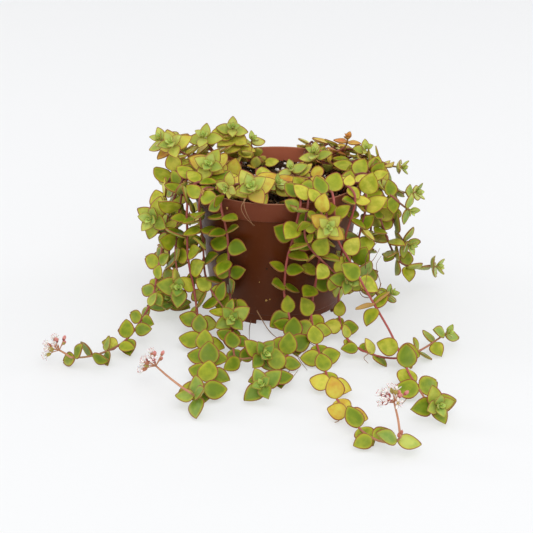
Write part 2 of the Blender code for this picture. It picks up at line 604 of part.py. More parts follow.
def new_mesh_object(name, points, faces, material, collection):
    """A mesh object from points in millimetres, with its faces turned outwards."""
    mesh = bpy.data.meshes.new(name)
    mesh.from_pydata([p * MM for p in points], [], faces)
    shape = bmesh.new()
    shape.from_mesh(mesh)
    bmesh.ops.recalc_face_normals(shape, faces=shape.faces)
    shape.to_mesh(mesh)
    shape.free()
    mesh.materials.append(material)
    obj = bpy.data.objects.new(name, mesh)
    collection.objects.link(obj)
    return obj


def turned(name, profile, steps, material, collection):
    """A solid of revolution: the profile, from the axis outwards and down, under a Screw modifier."""
    mesh = bpy.data.meshes.new(name)
    edges = [(i, i + 1) for i in range(len(profile) - 1)]
    mesh.from_pydata([(r * MM, 0, z * MM) for r, z in profile], edges, [])
    mesh.materials.append(material)
    obj = bpy.data.objects.new(name, mesh)
    collection.objects.link(obj)
    screw = obj.modifiers.new("Turn", "SCREW")
    screw.steps = steps
    screw.render_steps = steps
    screw.use_merge_vertices = True
    screw.merge_threshold = 0.00001
    return obj


def applied(obj):
    """The object with its modifiers made part of its mesh."""
    bpy.context.view_layer.update()
    graph = bpy.context.evaluated_depsgraph_get()
    mesh = bpy.data.meshes.new_from_object(obj.evaluated_get(graph))
    obj.modifiers.clear()
    obj.data = mesh
    return obj


def tube(name, line, radii, material, collection):
    """A four-sided closed tube along a line of points, as a mesh."""
    curve = bpy.data.curves.new(name, "CURVE")
    curve.dimensions = "3D"
    curve.bevel_depth = MM
    curve.bevel_resolution = 0
    curve.use_fill_caps = True
    spline = curve.splines.new("POLY")
    spline.points.add(len(line) - 1)
    for point, place, radius in zip(spline.points, line, radii):
        point.co = (*(place * MM), 1)
        point.radius = radius
    guide = bpy.data.objects.new(name + "_guide", curve)
    collection.objects.link(guide)
    bpy.context.view_layer.update()
    graph = bpy.context.evaluated_depsgraph_get()
    mesh = bpy.data.meshes.new_from_object(guide.evaluated_get(graph))
    bpy.data.objects.remove(guide)
    shape = bmesh.new()
    shape.from_mesh(mesh)
    bmesh.ops.remove_doubles(shape, verts=shape.verts, dist=0.00001)
    bmesh.ops.recalc_face_normals(shape, faces=shape.faces)
    shape.to_mesh(mesh)
    shape.free()
    mesh.materials.clear()
    mesh.materials.append(material)
    obj = bpy.data.objects.new(name, mesh)
    collection.objects.link(obj)
    return obj


def keep_largest_shell(obj):
    """Fills what fusing sealed and drops loose scraps: only the outer shell stays."""
    shape = bmesh.new()
    shape.from_mesh(obj.data)
    left = set(shape.verts)
    shells = []
    while left:
        seed = left.pop()
        shell, edge = {seed}, [seed]
        while edge:
            for link in edge.pop().link_edges:
                for vert in link.verts:
                    if vert not in shell:
                        shell.add(vert)
                        edge.append(vert)
        left -= shell
        shells.append(shell)
    shells.sort(key=len)
    dropped = [vert for shell in shells[:-1] for vert in shell]
    bmesh.ops.delete(shape, geom=dropped, context="VERTS")
    shape.to_mesh(obj.data)
    shape.free()


def fuse(obj, pieces, solver="EXACT"):
    """One Boolean union of the object with a collection of its repeats, applied."""
    group = bpy.data.collections.new(obj.name + "_pieces")
    bpy.context.scene.collection.children.link(group)
    for piece in pieces:
        for user in piece.users_collection:
            user.objects.unlink(piece)
        group.objects.link(piece)
    union = obj.modifiers.new("Fuse", "BOOLEAN")
    union.operation = "UNION"
    union.operand_type = "COLLECTION"
    union.collection = group
    union.solver = solver
    if solver == "EXACT":
        union.material_mode = "TRANSFER"
    applied(obj)
    for piece in list(group.objects):
        bpy.data.objects.remove(piece)
    bpy.data.collections.remove(group)
    keep_largest_shell(obj)


def notch_cutter(index, material, cutters):
    """A block with two rounded upper corners, through the pot's foot ring."""
    half = NOTCH_WIDTH / 2
    corner = NOTCH_CORNER
    section = ((-half, -1.0), (half, -1.0), (half, NOTCH_HEIGHT - corner), (half - corner, NOTCH_HEIGHT),
               (corner - half, NOTCH_HEIGHT), (-half, NOTCH_HEIGHT - corner))
    turn = Matrix.Rotation(math.radians(FIRST_NOTCH_ANGLE + 360 * index / NOTCH_COUNT), 3, "Z")
    ends = (BASE_RADIUS - NOTCH_REACH, FOOT_RADIUS + NOTCH_REACH)
    points = [turn @ Vector((depth, across, z)) for depth in ends for across, z in section]
    return prism(f"notch_cutter_{index + 1}", points, material, cutters)


def drain_cutter(index, material, cutters):
    """A round hole's cutter, through the pot's floor."""
    angle = 2 * math.pi * (index + 0.5) / DRAIN_COUNT
    centre = Vector((DRAIN_CIRCLE * math.cos(angle), DRAIN_CIRCLE * math.sin(angle), 0))
    points = ring(centre, DRAIN_RADIUS, FLOOR_UNDERSIDE - 1, DRAIN_SIDES)
    points += ring(centre, DRAIN_RADIUS, FLOOR_TOP + 1, DRAIN_SIDES)
    return prism(f"drain_cutter_{index + 1}", points, material, cutters)


def ring(centre, radius, z, count):
    angles = [2 * math.pi * i / count for i in range(count)]
    return [Vector((centre.x + radius * math.cos(a), centre.y + radius * math.sin(a), z)) for a in angles]


def prism_faces(count, first=0):
    walls = [(first + i, first + (i + 1) % count, first + count + (i + 1) % count, first + count + i)
             for i in range(count)]
    return walls + [tuple(range(first, first + count)), tuple(range(first + count, first + 2 * count))]


def prism(name, points, material, collection):
    """A closed prism between two like rings of points."""
    return new_mesh_object(name, points, prism_faces(len(points) // 2), material, collection)


def cut_with(obj, cutters):
    cut = obj.modifiers.new("Cut", "BOOLEAN")
    cut.operation = "DIFFERENCE"
    cut.operand_type = "COLLECTION"
    cut.collection = cutters
    cut.solver = "EXACT"


def build_pot(parts, pot_cutters):
    plastic = new_material("pot_plastic", (0.24, 0.09, 0.05), 0.35)
    pot = turned("pot", profile_of_pot(), POT_STEPS, plastic, parts)
    for index in range(NOTCH_COUNT):
        notch_cutter(index, plastic, pot_cutters)
    for index in range(DRAIN_COUNT):
        drain_cutter(index, plastic, pot_cutters)
    cut_with(pot, pot_cutters)
    return pot


def soil_points():
    """The soil's rings of points, from the middle of its lumpy top out, down the wall and in under it."""
    edge = WALL_TOP_RADIUS - WALL - SOIL_GAP
    points = [Vector((0, 0, soil_height(0, 0)))]
    for radius in (*SOIL_RINGS, edge):
        points += [Vector((p.x, p.y, soil_height(p.x, p.y))) for p in ring(Vector(), radius, 0, SOIL_STEPS)]
    points += ring(Vector(), edge, POT_HEIGHT - BAND_HEIGHT, SOIL_STEPS)
    points += ring(Vector(), WALL_FOOT_RADIUS - WALL - SOIL_GAP, FOOT_HEIGHT + 1.5, SOIL_STEPS)
    points += ring(Vector(), BASE_RADIUS - WALL - 1.0 - SOIL_GAP, FLOOR_TOP + SOIL_GAP, SOIL_STEPS)
    return points


def soil_faces(ring_count):
    """A fan in the middle of the top, bands between the rings and one face under the last."""
    faces = [(0, 1 + i, 1 + (i + 1) % SOIL_STEPS) for i in range(SOIL_STEPS)]
    for band in range(ring_count - 1):
        first = 1 + band * SOIL_STEPS
        for i in range(SOIL_STEPS):
            n = (i + 1) % SOIL_STEPS
            faces.append((first + i, first + n, first + SOIL_STEPS + i))
            faces.append((first + n, first + SOIL_STEPS + n, first + SOIL_STEPS + i))
    last = 1 + (ring_count - 1) * SOIL_STEPS
    return faces + [tuple(range(last, last + SOIL_STEPS))]


def build_soil(parts, soil_cutters):
    """The filled pot's soil, with a plain hole for each stem."""
    earth = new_material("potting_soil", (0.03, 0.025, 0.02), 0.95)
    points = soil_points()
    soil = new_mesh_object("soil", points, soil_faces((len(points) - 1) // SOIL_STEPS), earth, parts)
    hole_points, hole_faces = [], []
    for vine in VINES:
        root = Vector((*vine.root, 0))
        z = soil_height(root.x, root.y)
        hole_faces += prism_faces(HOLE_SIDES, len(hole_points))
        hole_points += ring(root, HOLE_RADIUS, z - ROOT_DEPTH - CLEARANCE, HOLE_SIDES)
        hole_points += ring(root, HOLE_RADIUS, z + 4, HOLE_SIDES)
    new_mesh_object("root_hole_cutter", hole_points, hole_faces, earth, soil_cutters)
    cut_with(soil, soil_cutters)
    return soil


def build_stem(vine, arrangement, leaf_green, stem_red, parts):
    """One leafy stem, its leaves fused to it."""
    corners = arrangement.corners[vine.name]
    last = len(corners) - 1
    radii = [STEM_RADIUS + (TIP_RADIUS - STEM_RADIUS) * i / last for i in range(last + 1)]
    stem = tube(vine.name, corners, radii, stem_red, parts)
    pieces = []
    for leaf in arrangement.leaves[vine.name]:
        outline, belly = leaf_points(leaf)
        pieces.append(new_mesh_object("leaf", outline + [belly], leaf_faces(), leaf_green, parts))
    fuse(stem, pieces)
    return stem


def lathe_piece(name, base, along, stations, material, parts, sides=4):
    """A spindle along a line from (distance, radius) stations, with its last point a tip."""
    side = along.orthogonal().normalized()
    points, faces = [], [tuple(range(sides))]
    for distance, radius in stations[:-1]:
        for k in range(sides):
            turn = Matrix.Rotation(2 * math.pi * k / sides, 3, along)
            points.append(base + along * distance + (turn @ side) * radius)
    for band in range(len(stations) - 2):
        for k in range(sides):
            a, b = band * sides + k, band * sides + (k + 1) % sides
            faces.append((a, b, b + sides, a + sides))
    last = len(points) - sides
    points.append(base + along * stations[-1][0])
    faces += [(last + k, last + (k + 1) % sides, len(points) - 1) for k in range(sides)]
    return new_mesh_object(name, points, faces, material, parts)


def star_piece(base, along, reach, material, parts):
    """Five open petals as one star, thickest in the middle, on their own thin stalk."""
    side = along.orthogonal().normalized()
    centre = base + along * (reach + STAR_DEPTH / 2)
    turns = [Matrix.Rotation(math.pi * k / 5, 3, along) @ side for k in range(10)]
    points = [centre + along * PETAL_RISE]
    for k, turn in enumerate(turns):
        tip = centre + turn * PETAL_LENGTH + along * PETAL_RISE
        points.append(centre + turn * PETAL_NOTCH if k % 2 else tip)
    for foot in (centre - along * STAR_DEPTH, base):
        points += [foot + turn * PEDICEL_RADIUS for turn in turns[::2]]
    faces = [(0, 1 + k, 1 + (k + 1) % 10) for k in range(10)]
    for k in range(5):
        tip, notch, next_tip = 1 + 2 * k, 2 + 2 * k, 1 + (2 * k + 2) % 10
        neck, next_neck = 11 + k, 11 + (k + 1) % 5
        faces += [(tip, neck, notch), (neck, next_neck, notch), (notch, next_neck, next_tip)]
        faces.append((neck, neck + 5, next_neck + 5, next_neck))
    faces.append(tuple(range(16, 21)))
    return new_mesh_object("flower", points, faces, material, parts)


def build_bloom(bloom, arrangement, petal_pink, stalk_red, parts):
    """A stalk with an umbel of open star flowers and buds, fused to it."""
    line = stalk_of(bloom, arrangement.corners[bloom.vine])
    stalk = tube(bloom.name, line, [STALK_RADIUS] * len(line), stalk_red, parts)
    pieces = []
    for floret in florets_of(bloom):
        start = floret.base + floret.along * PEDICEL_START
        reach = floret.length - PEDICEL_START
        if floret.open:
            pieces.append(star_piece(start, floret.along, reach, petal_pink, parts))
        else:
            widest = reach + 0.35 * BUD_LENGTH
            stations = ((0, PEDICEL_RADIUS), (reach, PEDICEL_RADIUS), (widest, BUD_RADIUS), (reach + BUD_LENGTH, 0))
            pieces.append(lathe_piece("bud", start, floret.along, stations, petal_pink, parts))
    axis = Vector(bloom.head).normalized()
    pieces.append(lathe_piece("hub", line[-1] - axis * HUB[0][1], axis, HUB, stalk_red, parts))
    fuse(stalk, pieces, "MANIFOLD")
    return stalk


def clear_scene():
    for obj in list(bpy.data.objects):
        bpy.data.objects.remove(obj)


def new_collection(name, hidden=False):
    collection = bpy.data.collections.new(name)
    bpy.context.scene.collection.children.link(collection)
    collection.hide_render = hidden
    return collection


def main():
    clear_scene()
    parts = new_collection("potted_trailing_jade")
    pot_cutters = new_collection("pot_cutters", True)
    soil_cutters = new_collection("soil_cutters", True)
    build_pot(parts, pot_cutters)
    build_soil(parts, soil_cutters)
    leaf_green = new_material("jade_leaf", (0.36, 0.46, 0.06), 0.4)
    stem_red = new_material("jade_stem", (0.42, 0.08, 0.07), 0.5)
    petal_pink = new_material("jade_petal", (0.85, 0.62, 0.62), 0.5)
    stalk_red = new_material("jade_flower_stalk", (0.5, 0.17, 0.13), 0.5)
    arrangement = Arrangement()
    for vine in VINES:
        build_stem(vine, arrangement, leaf_green, stem_red, parts)
    for bloom in BLOOMS:
        build_bloom(bloom, arrangement, petal_pink, stalk_red, parts)
    for cutters in (pot_cutters, soil_cutters):
        for cutter in cutters.objects:
            cutter.hide_render = True
            cutter.display_type = "WIRE"


if __name__ == "__main__":
    main()
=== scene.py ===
"""A trailing jade plant in a round nursery pot, on a white surface.

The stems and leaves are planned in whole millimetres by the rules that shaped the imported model, so each fine
stem stands where its packed one does. MM turns millimetres into metres.
"""

import math
import random
from collections import namedtuple

import bmesh
import bpy
import numpy as np
from mathutils import Matrix, Vector
from mathutils.bvhtree import BVHTree

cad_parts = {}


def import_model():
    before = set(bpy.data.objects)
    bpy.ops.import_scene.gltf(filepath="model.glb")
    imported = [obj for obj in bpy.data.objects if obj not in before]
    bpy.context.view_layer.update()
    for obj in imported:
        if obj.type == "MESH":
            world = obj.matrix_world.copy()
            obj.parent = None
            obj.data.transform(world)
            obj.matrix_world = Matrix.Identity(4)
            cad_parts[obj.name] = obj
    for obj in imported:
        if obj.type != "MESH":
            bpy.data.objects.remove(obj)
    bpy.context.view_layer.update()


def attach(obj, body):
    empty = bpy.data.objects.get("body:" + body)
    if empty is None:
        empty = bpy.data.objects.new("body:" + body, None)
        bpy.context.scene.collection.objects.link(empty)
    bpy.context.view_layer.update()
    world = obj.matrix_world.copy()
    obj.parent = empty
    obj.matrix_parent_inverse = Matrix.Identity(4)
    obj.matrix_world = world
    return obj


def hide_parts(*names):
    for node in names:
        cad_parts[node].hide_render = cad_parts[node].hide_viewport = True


MM = 0.001
UP = Vector((0, 0, 1))

# The pot, in millimetres.
POT_HEIGHT = 94.5
RIM_RADIUS = 60.0
BAND_HEIGHT = 13.5
BAND_FOOT_RADIUS = 58.2
WALL_TOP_RADIUS = 57.0
WALL_FOOT_RADIUS = 46.6
FOOT_RADIUS = 46.0
BASE_RADIUS = 45.4
FOOT_HEIGHT = 8.0
WALL = 1.4
FLOOR_UNDERSIDE = 4.0
FLOOR_TOP = 5.6
CENTRE_FOOT_RADIUS = 11.0
NOTCH_COUNT = 6
NOTCH_WIDTH = 14.0
NOTCH_HEIGHT = 3.4
NOTCH_CORNER = 1.4
FIRST_NOTCH_ANGLE = -100.0
DRAIN_COUNT = 6
DRAIN_RADIUS = 3.5
DRAIN_CIRCLE = 33.0

# The soil.
SOIL_TOP = 85.0
SOIL_GAP = 0.35
SOIL_LUMP = 1.1
GUARD_SIDES = 48
ROOT_DEPTH = 10.0

# The stems and leaves.
STEM_RADIUS = 0.92
TIP_RADIUS = 0.65
BEND_TOLERANCE = 0.75
LEAF_HALF_WIDTHS = ((0.22, 0.40), (0.60, 0.39))
LEAF_CUP = 0.05
LEAF_BELLY = 0.13
CLEARANCE = 0.4
FLOOR_CLEARANCE = 0.35
ROSETTE_STEP = 2.4
ROOT_OFFSET = 0.2
TRAIL_Z = 14.0
HIDDEN_SIDE = 0.0
LEAF_REST = 1.3
ROSETTE_BREADTH = 0.93
MOST_TILT = 95.0
TOP_TILT = 0.55
TRAIL_ROLL = 135.0
TRAIL_SWING = 38.0
# How open a rosette's outer pair is in degrees, how much less the inner one, and how much smaller it is.
ROSETTE_OPENING = 88
ROSETTE_CLOSING = 38
ROSETTE_SHRINKING = 0.42
# An internode shorter than this share of the gap has no leaves, and pairs are at least this share apart.
SHORTEST_INTERNODE = 0.4
LEAST_GAP = 0.75
# The ranges that the pairs' rolls and tilts, the bend back and the size are drawn from.
ROLL_SPREAD = 16
TILT_SPREAD = 14
REFLEX_RANGE = (0.1, 0.65)
SIZE_RANGE = (0.86, 1.08)

# The blooms.
STALK_GAP = 0.4
STALK_STRAIGHT = 2.2
STALK_RADIUS = 0.65
PEDICEL_LENGTH = 6.8
# How wide an umbel opens, and the turn from one floret to the next, in degrees.
UMBEL_OPENING = 78
FLORET_TURN = 137.5
PETAL_LENGTH = 3.3

Vine = namedtuple("Vine", "name root route facing size gap far_gap pairs roll trail_tilt", defaults=(0.5,))
Bloom = namedtuple("Bloom", "name vine route head florets")
Floret = namedtuple("Floret", "base along length open")
Leaf = namedtuple("Leaf", "base along face length breadth")
Pair = namedtuple("Pair", "roll reflex tilt size")
Slot = namedtuple("Slot", "main make")

# Each route runs from above the soil, over the rim and down. Facing is the way the end rosette looks, and
# trail_tilt is how far the leaves near the surface turn their faces aside, as a share of MOST_TILT.
VINES = (
    Vine("stem_right_long", (26, -33), ((27, -38, 93), (30, -52, 99), (32, -60, 95), (32, -59, 84),
         (31, -55, 70), (28, -54, 54), (26, -53, 36), (23, -54, 20), (23, -61, 11), (25, -81, 7),
         (28, -108, 6), (31, -132, 6), (33, -153, 6), (37, -169, 6), (43, -190, 6), (48, -205, 6),
         (55, -216, 6), (62, -221, 6), (68, -223, 7)), (0.3, -0.4, 0.8), 14.5, 12.5, 20, 2, 20, 0.3),
    Vine("stem_right_diagonal", (33, -25), ((35, -31, 93), (36, -48, 99), (37, -57, 95), (37, -55, 86),
         (38, -51, 73), (42, -50, 61), (50, -56, 50), (59, -71, 37), (69, -88, 25), (75, -99, 17),
         (80, -121, 11), (83, -135, 8), (87, -151, 7), (90, -166, 7), (93, -178, 8)),
         (0.35, -0.85, 0.45), 15.5, 25, 14, 4, 60, 0.6),
    Vine("stem_left_long", (-38, -4), ((-42, -5, 94), (-54, -8, 99), (-63, -11, 97), (-68, -10, 87),
         (-74, -13, 73), (-79, -22, 50), (-82, -32, 36), (-85, -52, 22), (-92, -68, 14), (-97, -80, 10),
         (-103, -91, 8), (-111, -100, 7), (-121, -105, 6), (-130, -109, 6)),
         (-0.7, -0.5, 0.5), 12.5, 12.0, 10.5, 1, 0, 0.6),
    Vine("stem_left_centre", (-33, -21), ((-38, -23, 93), (-51, -28, 99), (-58, -31, 97),
         (-61, -35, 86), (-61, -37, 68), (-61, -40, 48), (-58, -43, 34), (-55, -51, 17), (-53, -66, 8),
         (-50, -90, 6), (-46, -106, 6), (-44, -126, 7), (-45, -148, 7), (-49, -167, 8)),
         (-0.5, -0.6, 0.6), 15.5, 13.0, 12.5, 3, 90, 0.4),
    Vine("stem_front_middle", (13, -38), ((14, -44, 93), (15, -56, 99), (15, -63, 95), (13, -64, 86),
         (11, -61, 75), (9, -59, 65), (6, -59, 55), (5, -58, 42), (4, -56, 30), (7, -57, 17),
         (10, -72, 7), (9, -92, 6), (4, -112, 6), (-1, -130, 7), (-6, -145, 7), (-9, -153, 8)),
         (-0.15, -0.75, 0.6), 15.0, 12.5, 13, 3, 45),
    Vine("stem_front_left", (-24, -35), ((-27, -40, 93), (-34, -48, 99), (-38, -53, 96), (-37, -55, 86),
         (-34, -53, 75), (-33, -51, 62), (-33, -49, 50), (-32, -49, 38), (-32, -50, 27), (-32, -57, 16),
         (-30, -75, 11), (-29, -96, 8), (-28, -112, 8), (-21, -118, 10), (-13, -118, 12)),
         (0.45, -0.75, 0.55), 14.5, 12.0, 13.0, 4, 0),
    Vine("stem_right_low", (38, -14), ((42, -20, 93), (47, -37, 99), (52, -44, 95), (51, -44, 84),
         (47, -43, 70), (43, -43, 53), (42, -41, 34), (42, -42, 18), (42, -52, 10), (44, -74, 8),
         (49, -89, 6), (59, -101, 6), (69, -106, 5), (80, -107, 5), (92, -99, 6), (101, -90, 7),
         (109, -82, 9)), (0.65, -0.3, 0.6), 11.5, 15.0, 15, 2, 30, 0.8),
    Vine("stem_centre_rosette", (4, -12), ((1, -15, 91), (-9, -25, 97), (-15, -36, 98), (-17, -46, 98)),
         (-0.05, -0.75, 0.65), 17.5, 10.0, 10.0, 4, 50),
    Vine("stem_left_side_rosette", (-46, 4), ((-49, 4, 93), (-57, 3, 99), (-66, 1, 99), (-73, 0, 94),
         (-77, -3, 84), (-80, -8, 74), (-82, -14, 68)), (-0.45, -0.85, 0.2), 16.0, 10.5, 10.5, 4, 45),
    Vine("stem_left_top_rosette", (-30, 4), ((-32, 2, 91), (-41, -4, 98), (-46, -11, 102)),
         (-0.05, -0.8, 0.6), 16.0, 9.5, 9.5, 4, 0),
    Vine("stem_left_hang_rosette", (-40, -14), ((-44, -16, 93), (-56, -19, 99), (-63, -21, 97),
         (-65, -22, 88), (-67, -25, 75), (-69, -29, 60), (-70, -33, 46), (-68, -38, 34),
         (-66, -42, 27)), (-0.05, -0.9, 0.4), 17.0, 12.0, 12.0, 4, 20),
    Vine("stem_front_left_short", (-30, -29), ((-35, -33, 93), (-46, -38, 99), (-51, -42, 96),
         (-53, -43, 86), (-51, -42, 70), (-50, -42, 55), (-50, -42, 41), (-47, -46, 30), (-41, -56, 25),
         (-34, -65, 19), (-30, -71, 16)), (0.0, -0.85, 0.5), 14.0, 12.5, 12.5, 3, 70),
    Vine("stem_front_rosette", (21, -30), ((23, -36, 93), (25, -52, 99), (27, -62, 97), (29, -67, 88),
         (32, -69, 82)), (0.1, -0.95, 0.35), 13.5, 9.0, 9.0, 4, 0),
    Vine("stem_front_right_short", (17, -28), ((19, -36, 94), (20, -53, 100), (20, -63, 97),
         (18, -66, 86), (17, -66, 76), (20, -66, 67), (27, -64, 59), (34, -61, 50), (41, -57, 42),
         (46, -54, 38)), (0.3, -0.85, 0.3), 14.5, 12.0, 12.0, 3, 30),
    Vine("stem_right_front", (44, -18), ((47, -22, 93), (54, -29, 99), (59, -33, 96), (60, -36, 86),
         (58, -40, 76), (55, -44, 67), (53, -47, 57), (53, -48, 47), (54, -48, 40)),
         (0.3, -0.7, -0.4), 16.5, 13.0, 13.0, 2, 0),
    Vine("stem_right_hang", (46, -3), ((49, -6, 93), (58, -10, 99), (65, -10, 95), (68, -8, 84),
         (70, -5, 70), (73, -2, 59), (78, 0, 45), (83, 3, 33), (88, 5, 25), (95, 6, 22), (103, 7, 22),
         (109, 7, 22)), (0.95, -0.3, 0.1), 14.0, 9.5, 8.0, 2, 40, 0.8),
    Vine("stem_right_star", (44, 9), ((48, 8, 93), (58, 6, 99), (66, 5, 95), (71, 5, 84), (76, 6, 73),
         (80, 7, 63), (83, 8, 54), (86, 7, 47), (88, 5, 43)),
         (0.7, -0.6, -0.2), 14.0, 10.5, 10.5, 3, 10),
    Vine("stem_right_out", (44, 19), ((47, 19, 93), (57, 18, 99), (67, 17, 94), (75, 15, 86),
         (81, 12, 80), (87, 10, 77), (93, 9, 77)), (0.8, -0.5, 0.3), 14.0, 10.5, 10.5, 2, 60),
    Vine("stem_right_out_low", (49, 2), ((52, 1, 93), (60, -2, 99), (67, -4, 93), (75, -6, 84),
         (82, -7, 78), (88, -8, 73)), (0.7, -0.6, -0.2), 12.0, 10.0, 10.0, 2, 0),
    Vine("stem_top_right_chain", (40, 22), ((43, 23, 93), (52, 26, 98), (61, 31, 97), (70, 31, 95),
         (77, 28, 92), (83, 26, 90)), (0.95, -0.1, 0.1), 12.0, 6.5, 6.5, 2, 80),
    Vine("stem_top_right_tip", (28, 34), ((31, 35, 91), (41, 35, 98), (51, 32, 102), (60, 25, 102)),
         (0.3, -0.7, 0.6), 9.5, 8.0, 8.0, 3, 40),
    Vine("stem_top_right_star", (20, 30), ((23, 30, 91), (33, 28, 98), (43, 26, 102), (49, 27, 106)),
         (0.1, -0.1, 0.98), 10.0, 8.5, 8.5, 2, 0),
    Vine("stem_right_over_soil", (38, 18), ((38, 17, 91), (40, 12, 97), (34, 10, 99), (28, 10, 101)),
         (-0.3, -0.4, 0.85), 12.5, 8.5, 8.5, 3, 0),
    Vine("stem_inner_right", (30, 2), ((30, -2, 91), (26, -10, 95), (18, -12, 96), (11, -8, 97)),
         (-0.3, -0.4, 0.85), 12.0, 9.0, 9.0, 2, 20),
    Vine("stem_inner_small", (8, -25), ((6, -27, 90), (0, -30, 93), (-3, -33, 96)),
         (0.5, -0.4, 0.75), 12.0, 7.0, 7.0, 2, 60),
    Vine("stem_left_front_rosette", (-18, -24), ((-20, -29, 94), (-25, -40, 102), (-30, -48, 103)),
         (-0.45, -0.85, 0.1), 11.0, 9.0, 9.0, 3, 40),
    Vine("stem_top_left_tip", (-30, 22), ((-33, 22, 91), (-43, 20, 102), (-49, 17, 112)),
         (-0.25, -0.6, 0.75), 13.0, 9.5, 9.5, 3, 0),
    Vine("stem_top_left_star", (-14, 24), ((-15, 26, 90), (-21, 32, 99), (-27, 34, 104), (-31, 33, 109),
         (-32, 32, 114)), (0.1, -0.7, 0.7), 11.5, 8.0, 8.0, 3, 20),
    Vine("stem_top_left_small", (-7, 33), ((-9, 34, 90), (-15, 37, 97), (-19, 36, 103)),
         (0.3, -0.35, 0.9), 12.0, 8.0, 8.0, 2, 50),
    Vine("stem_left_cluster_front", (-42, 12), ((-45, 12, 92), (-56, 12, 100), (-65, 10, 106),
         (-70, 7, 110)), (-0.3, -0.65, 0.7), 14.5, 9.0, 9.0, 4, 30),
    Vine("stem_left_cluster_back", (-40, 23), ((-44, 24, 92), (-57, 26, 100), (-70, 25, 105),
         (-77, 23, 108)), (-0.6, -0.4, 0.7), 13.5, 9.5, 9.5, 3, 0),
    Vine("stem_left_back_hang", (-47, 14), ((-50, 15, 94), (-59, 15, 100), (-68, 14, 95), (-73, 11, 76),
         (-75, 7, 56), (-76, 2, 38), (-77, -6, 22), (-77, -16, 10), (-75, -27, 6)),
         (-0.1, -0.5, 0.8), 15.5, 12.0, 12.0, 3, 10),
    Vine("stem_right_back_hang", (38, 30), ((42, 34, 95), (50, 39, 100), (60, 41, 95), (67, 35, 74),
         (68, 26, 50), (66, 16, 28), (66, 5, 14), (70, -12, 9), (74, -21, 9)),
         (0.7, -0.2, 0.6), 11.0, 13.0, 12.0, 3, 45),
    Vine("stem_back_right", (28, 40), ((30, 43, 95), (36, 50, 100), (42, 57, 95), (44, 59, 76),
         (42, 60, 55), (38, 62, 34), (32, 67, 15), (24, 76, 7), (15, 84, 8)),
         (-0.3, 0.5, 0.8), 14.0, 15.0, 15.0, 3, 30),
    Vine("stem_back_middle", (18, 46), ((20, 49, 93), (25, 58, 99), (27, 65, 92), (22, 68, 74),
         (15, 69, 55), (8, 68, 38), (4, 68, 26)), (0.0, 0.9, 0.2), 14.0, 14.0, 14.0, 3, 0),
    Vine("stem_back_left", (-26, 41), ((-29, 44, 95), (-35, 50, 100), (-41, 57, 95), (-42, 60, 75),
         (-39, 61, 54), (-36, 62, 34), (-33, 68, 15), (-30, 82, 7), (-30, 92, 8)),
         (-0.1, 0.6, 0.8), 14.0, 15.0, 15.0, 3, 60),
    Vine("stem_back_left_short", (-18, 47), ((-20, 50, 93), (-24, 58, 99), (-25, 65, 92), (-21, 67, 76),
         (-17, 67, 62), (-15, 67, 52)), (0.1, 0.95, 0.1), 14.0, 13.0, 13.0, 3, 20),
    Vine("stem_back_right_side", (32, 36), ((35, 39, 95), (42, 45, 100), (50, 49, 95), (51, 50, 76),
         (47, 50, 60), (44, 51, 48)), (0.4, 0.8, 0.1), 14.0, 13.0, 13.0, 3, 50),
    Vine("stem_back_left_side", (-38, 31), ((-42, 34, 95), (-48, 38, 100), (-56, 43, 95), (-58, 44, 74),
         (-55, 43, 56), (-52, 44, 42), (-50, 45, 34)), (-0.5, 0.8, 0.1), 14.0, 14.0, 14.0, 3, 0),
)

BLOOMS = (
    Bloom("bloom_left", "stem_left_long", ((-138, -108, 9), (-142, -107, 11)), (-0.6, 0.35, 0.75), 10),
    Bloom("bloom_centre", "stem_left_centre", ((-60, -168, 16), (-69, -154, 16), (-77, -140, 16)),
          (-0.5, 0.4, 0.75), 10),
    Bloom("bloom_right", "stem_right_long", ((70, -227, 15), (69, -222, 22), (67, -216, 30)),
          (-0.1, 0.0, 1.0), 10),
)


def profile_of_pot():
    """The pot's section from the axis over its inner floor, up inside, over the rim and down outside."""
    band_z = POT_HEIGHT - BAND_HEIGHT
    return (
        (0.0, FLOOR_TOP),
        (BASE_RADIUS - WALL - 1.0, FLOOR_TOP),
        (WALL_FOOT_RADIUS - WALL, FOOT_HEIGHT + 1.0),
        (WALL_TOP_RADIUS - WALL, band_z),
        (RIM_RADIUS - WALL, POT_HEIGHT - 0.5),
        (RIM_RADIUS - WALL + 0.4, POT_HEIGHT),
        (RIM_RADIUS - 0.4, POT_HEIGHT),
        (RIM_RADIUS, POT_HEIGHT - 0.5),
        (BAND_FOOT_RADIUS, band_z),
        (WALL_TOP_RADIUS, band_z - 0.3),
        (WALL_FOOT_RADIUS, FOOT_HEIGHT),
        (FOOT_RADIUS, FOOT_HEIGHT - 0.4),
        (BASE_RADIUS, 0.0),
        (BASE_RADIUS - 2.0, 0.0),
        (BASE_RADIUS - 2.3, FLOOR_UNDERSIDE),
        (CENTRE_FOOT_RADIUS + 0.5, FLOOR_UNDERSIDE),
        (CENTRE_FOOT_RADIUS, 0.0),
        (0.0, 0.0),
    )


def soil_height(x, y):
    """The lumpy top of the soil, in millimetres."""
    lump = math.sin(0.31 * x + 1.0) * math.cos(0.27 * y - 0.4) + 0.6 * math.sin(0.13 * x - 0.19 * y)
    return SOIL_TOP + SOIL_LUMP * lump


def smooth_route(points, step=1.0):
    """Points about a millimetre apart on a smooth curve through the given ones."""
    ends = [points[0] * 2 - points[1]] + points + [points[-1] * 2 - points[-2]]
    line = []
    for a, b, c, d in zip(ends, ends[1:], ends[2:], ends[3:]):
        count = max(2, round((c - b).length / step))
        for i in range(count):
            t = i / count
            line.append(0.5 * (2 * b + (c - a) * t + (2 * a - 5 * b + 4 * c - d) * t * t
                               + (3 * b - a - 3 * c + d) * t ** 3))
    line.append(points[-1].copy())
    return line


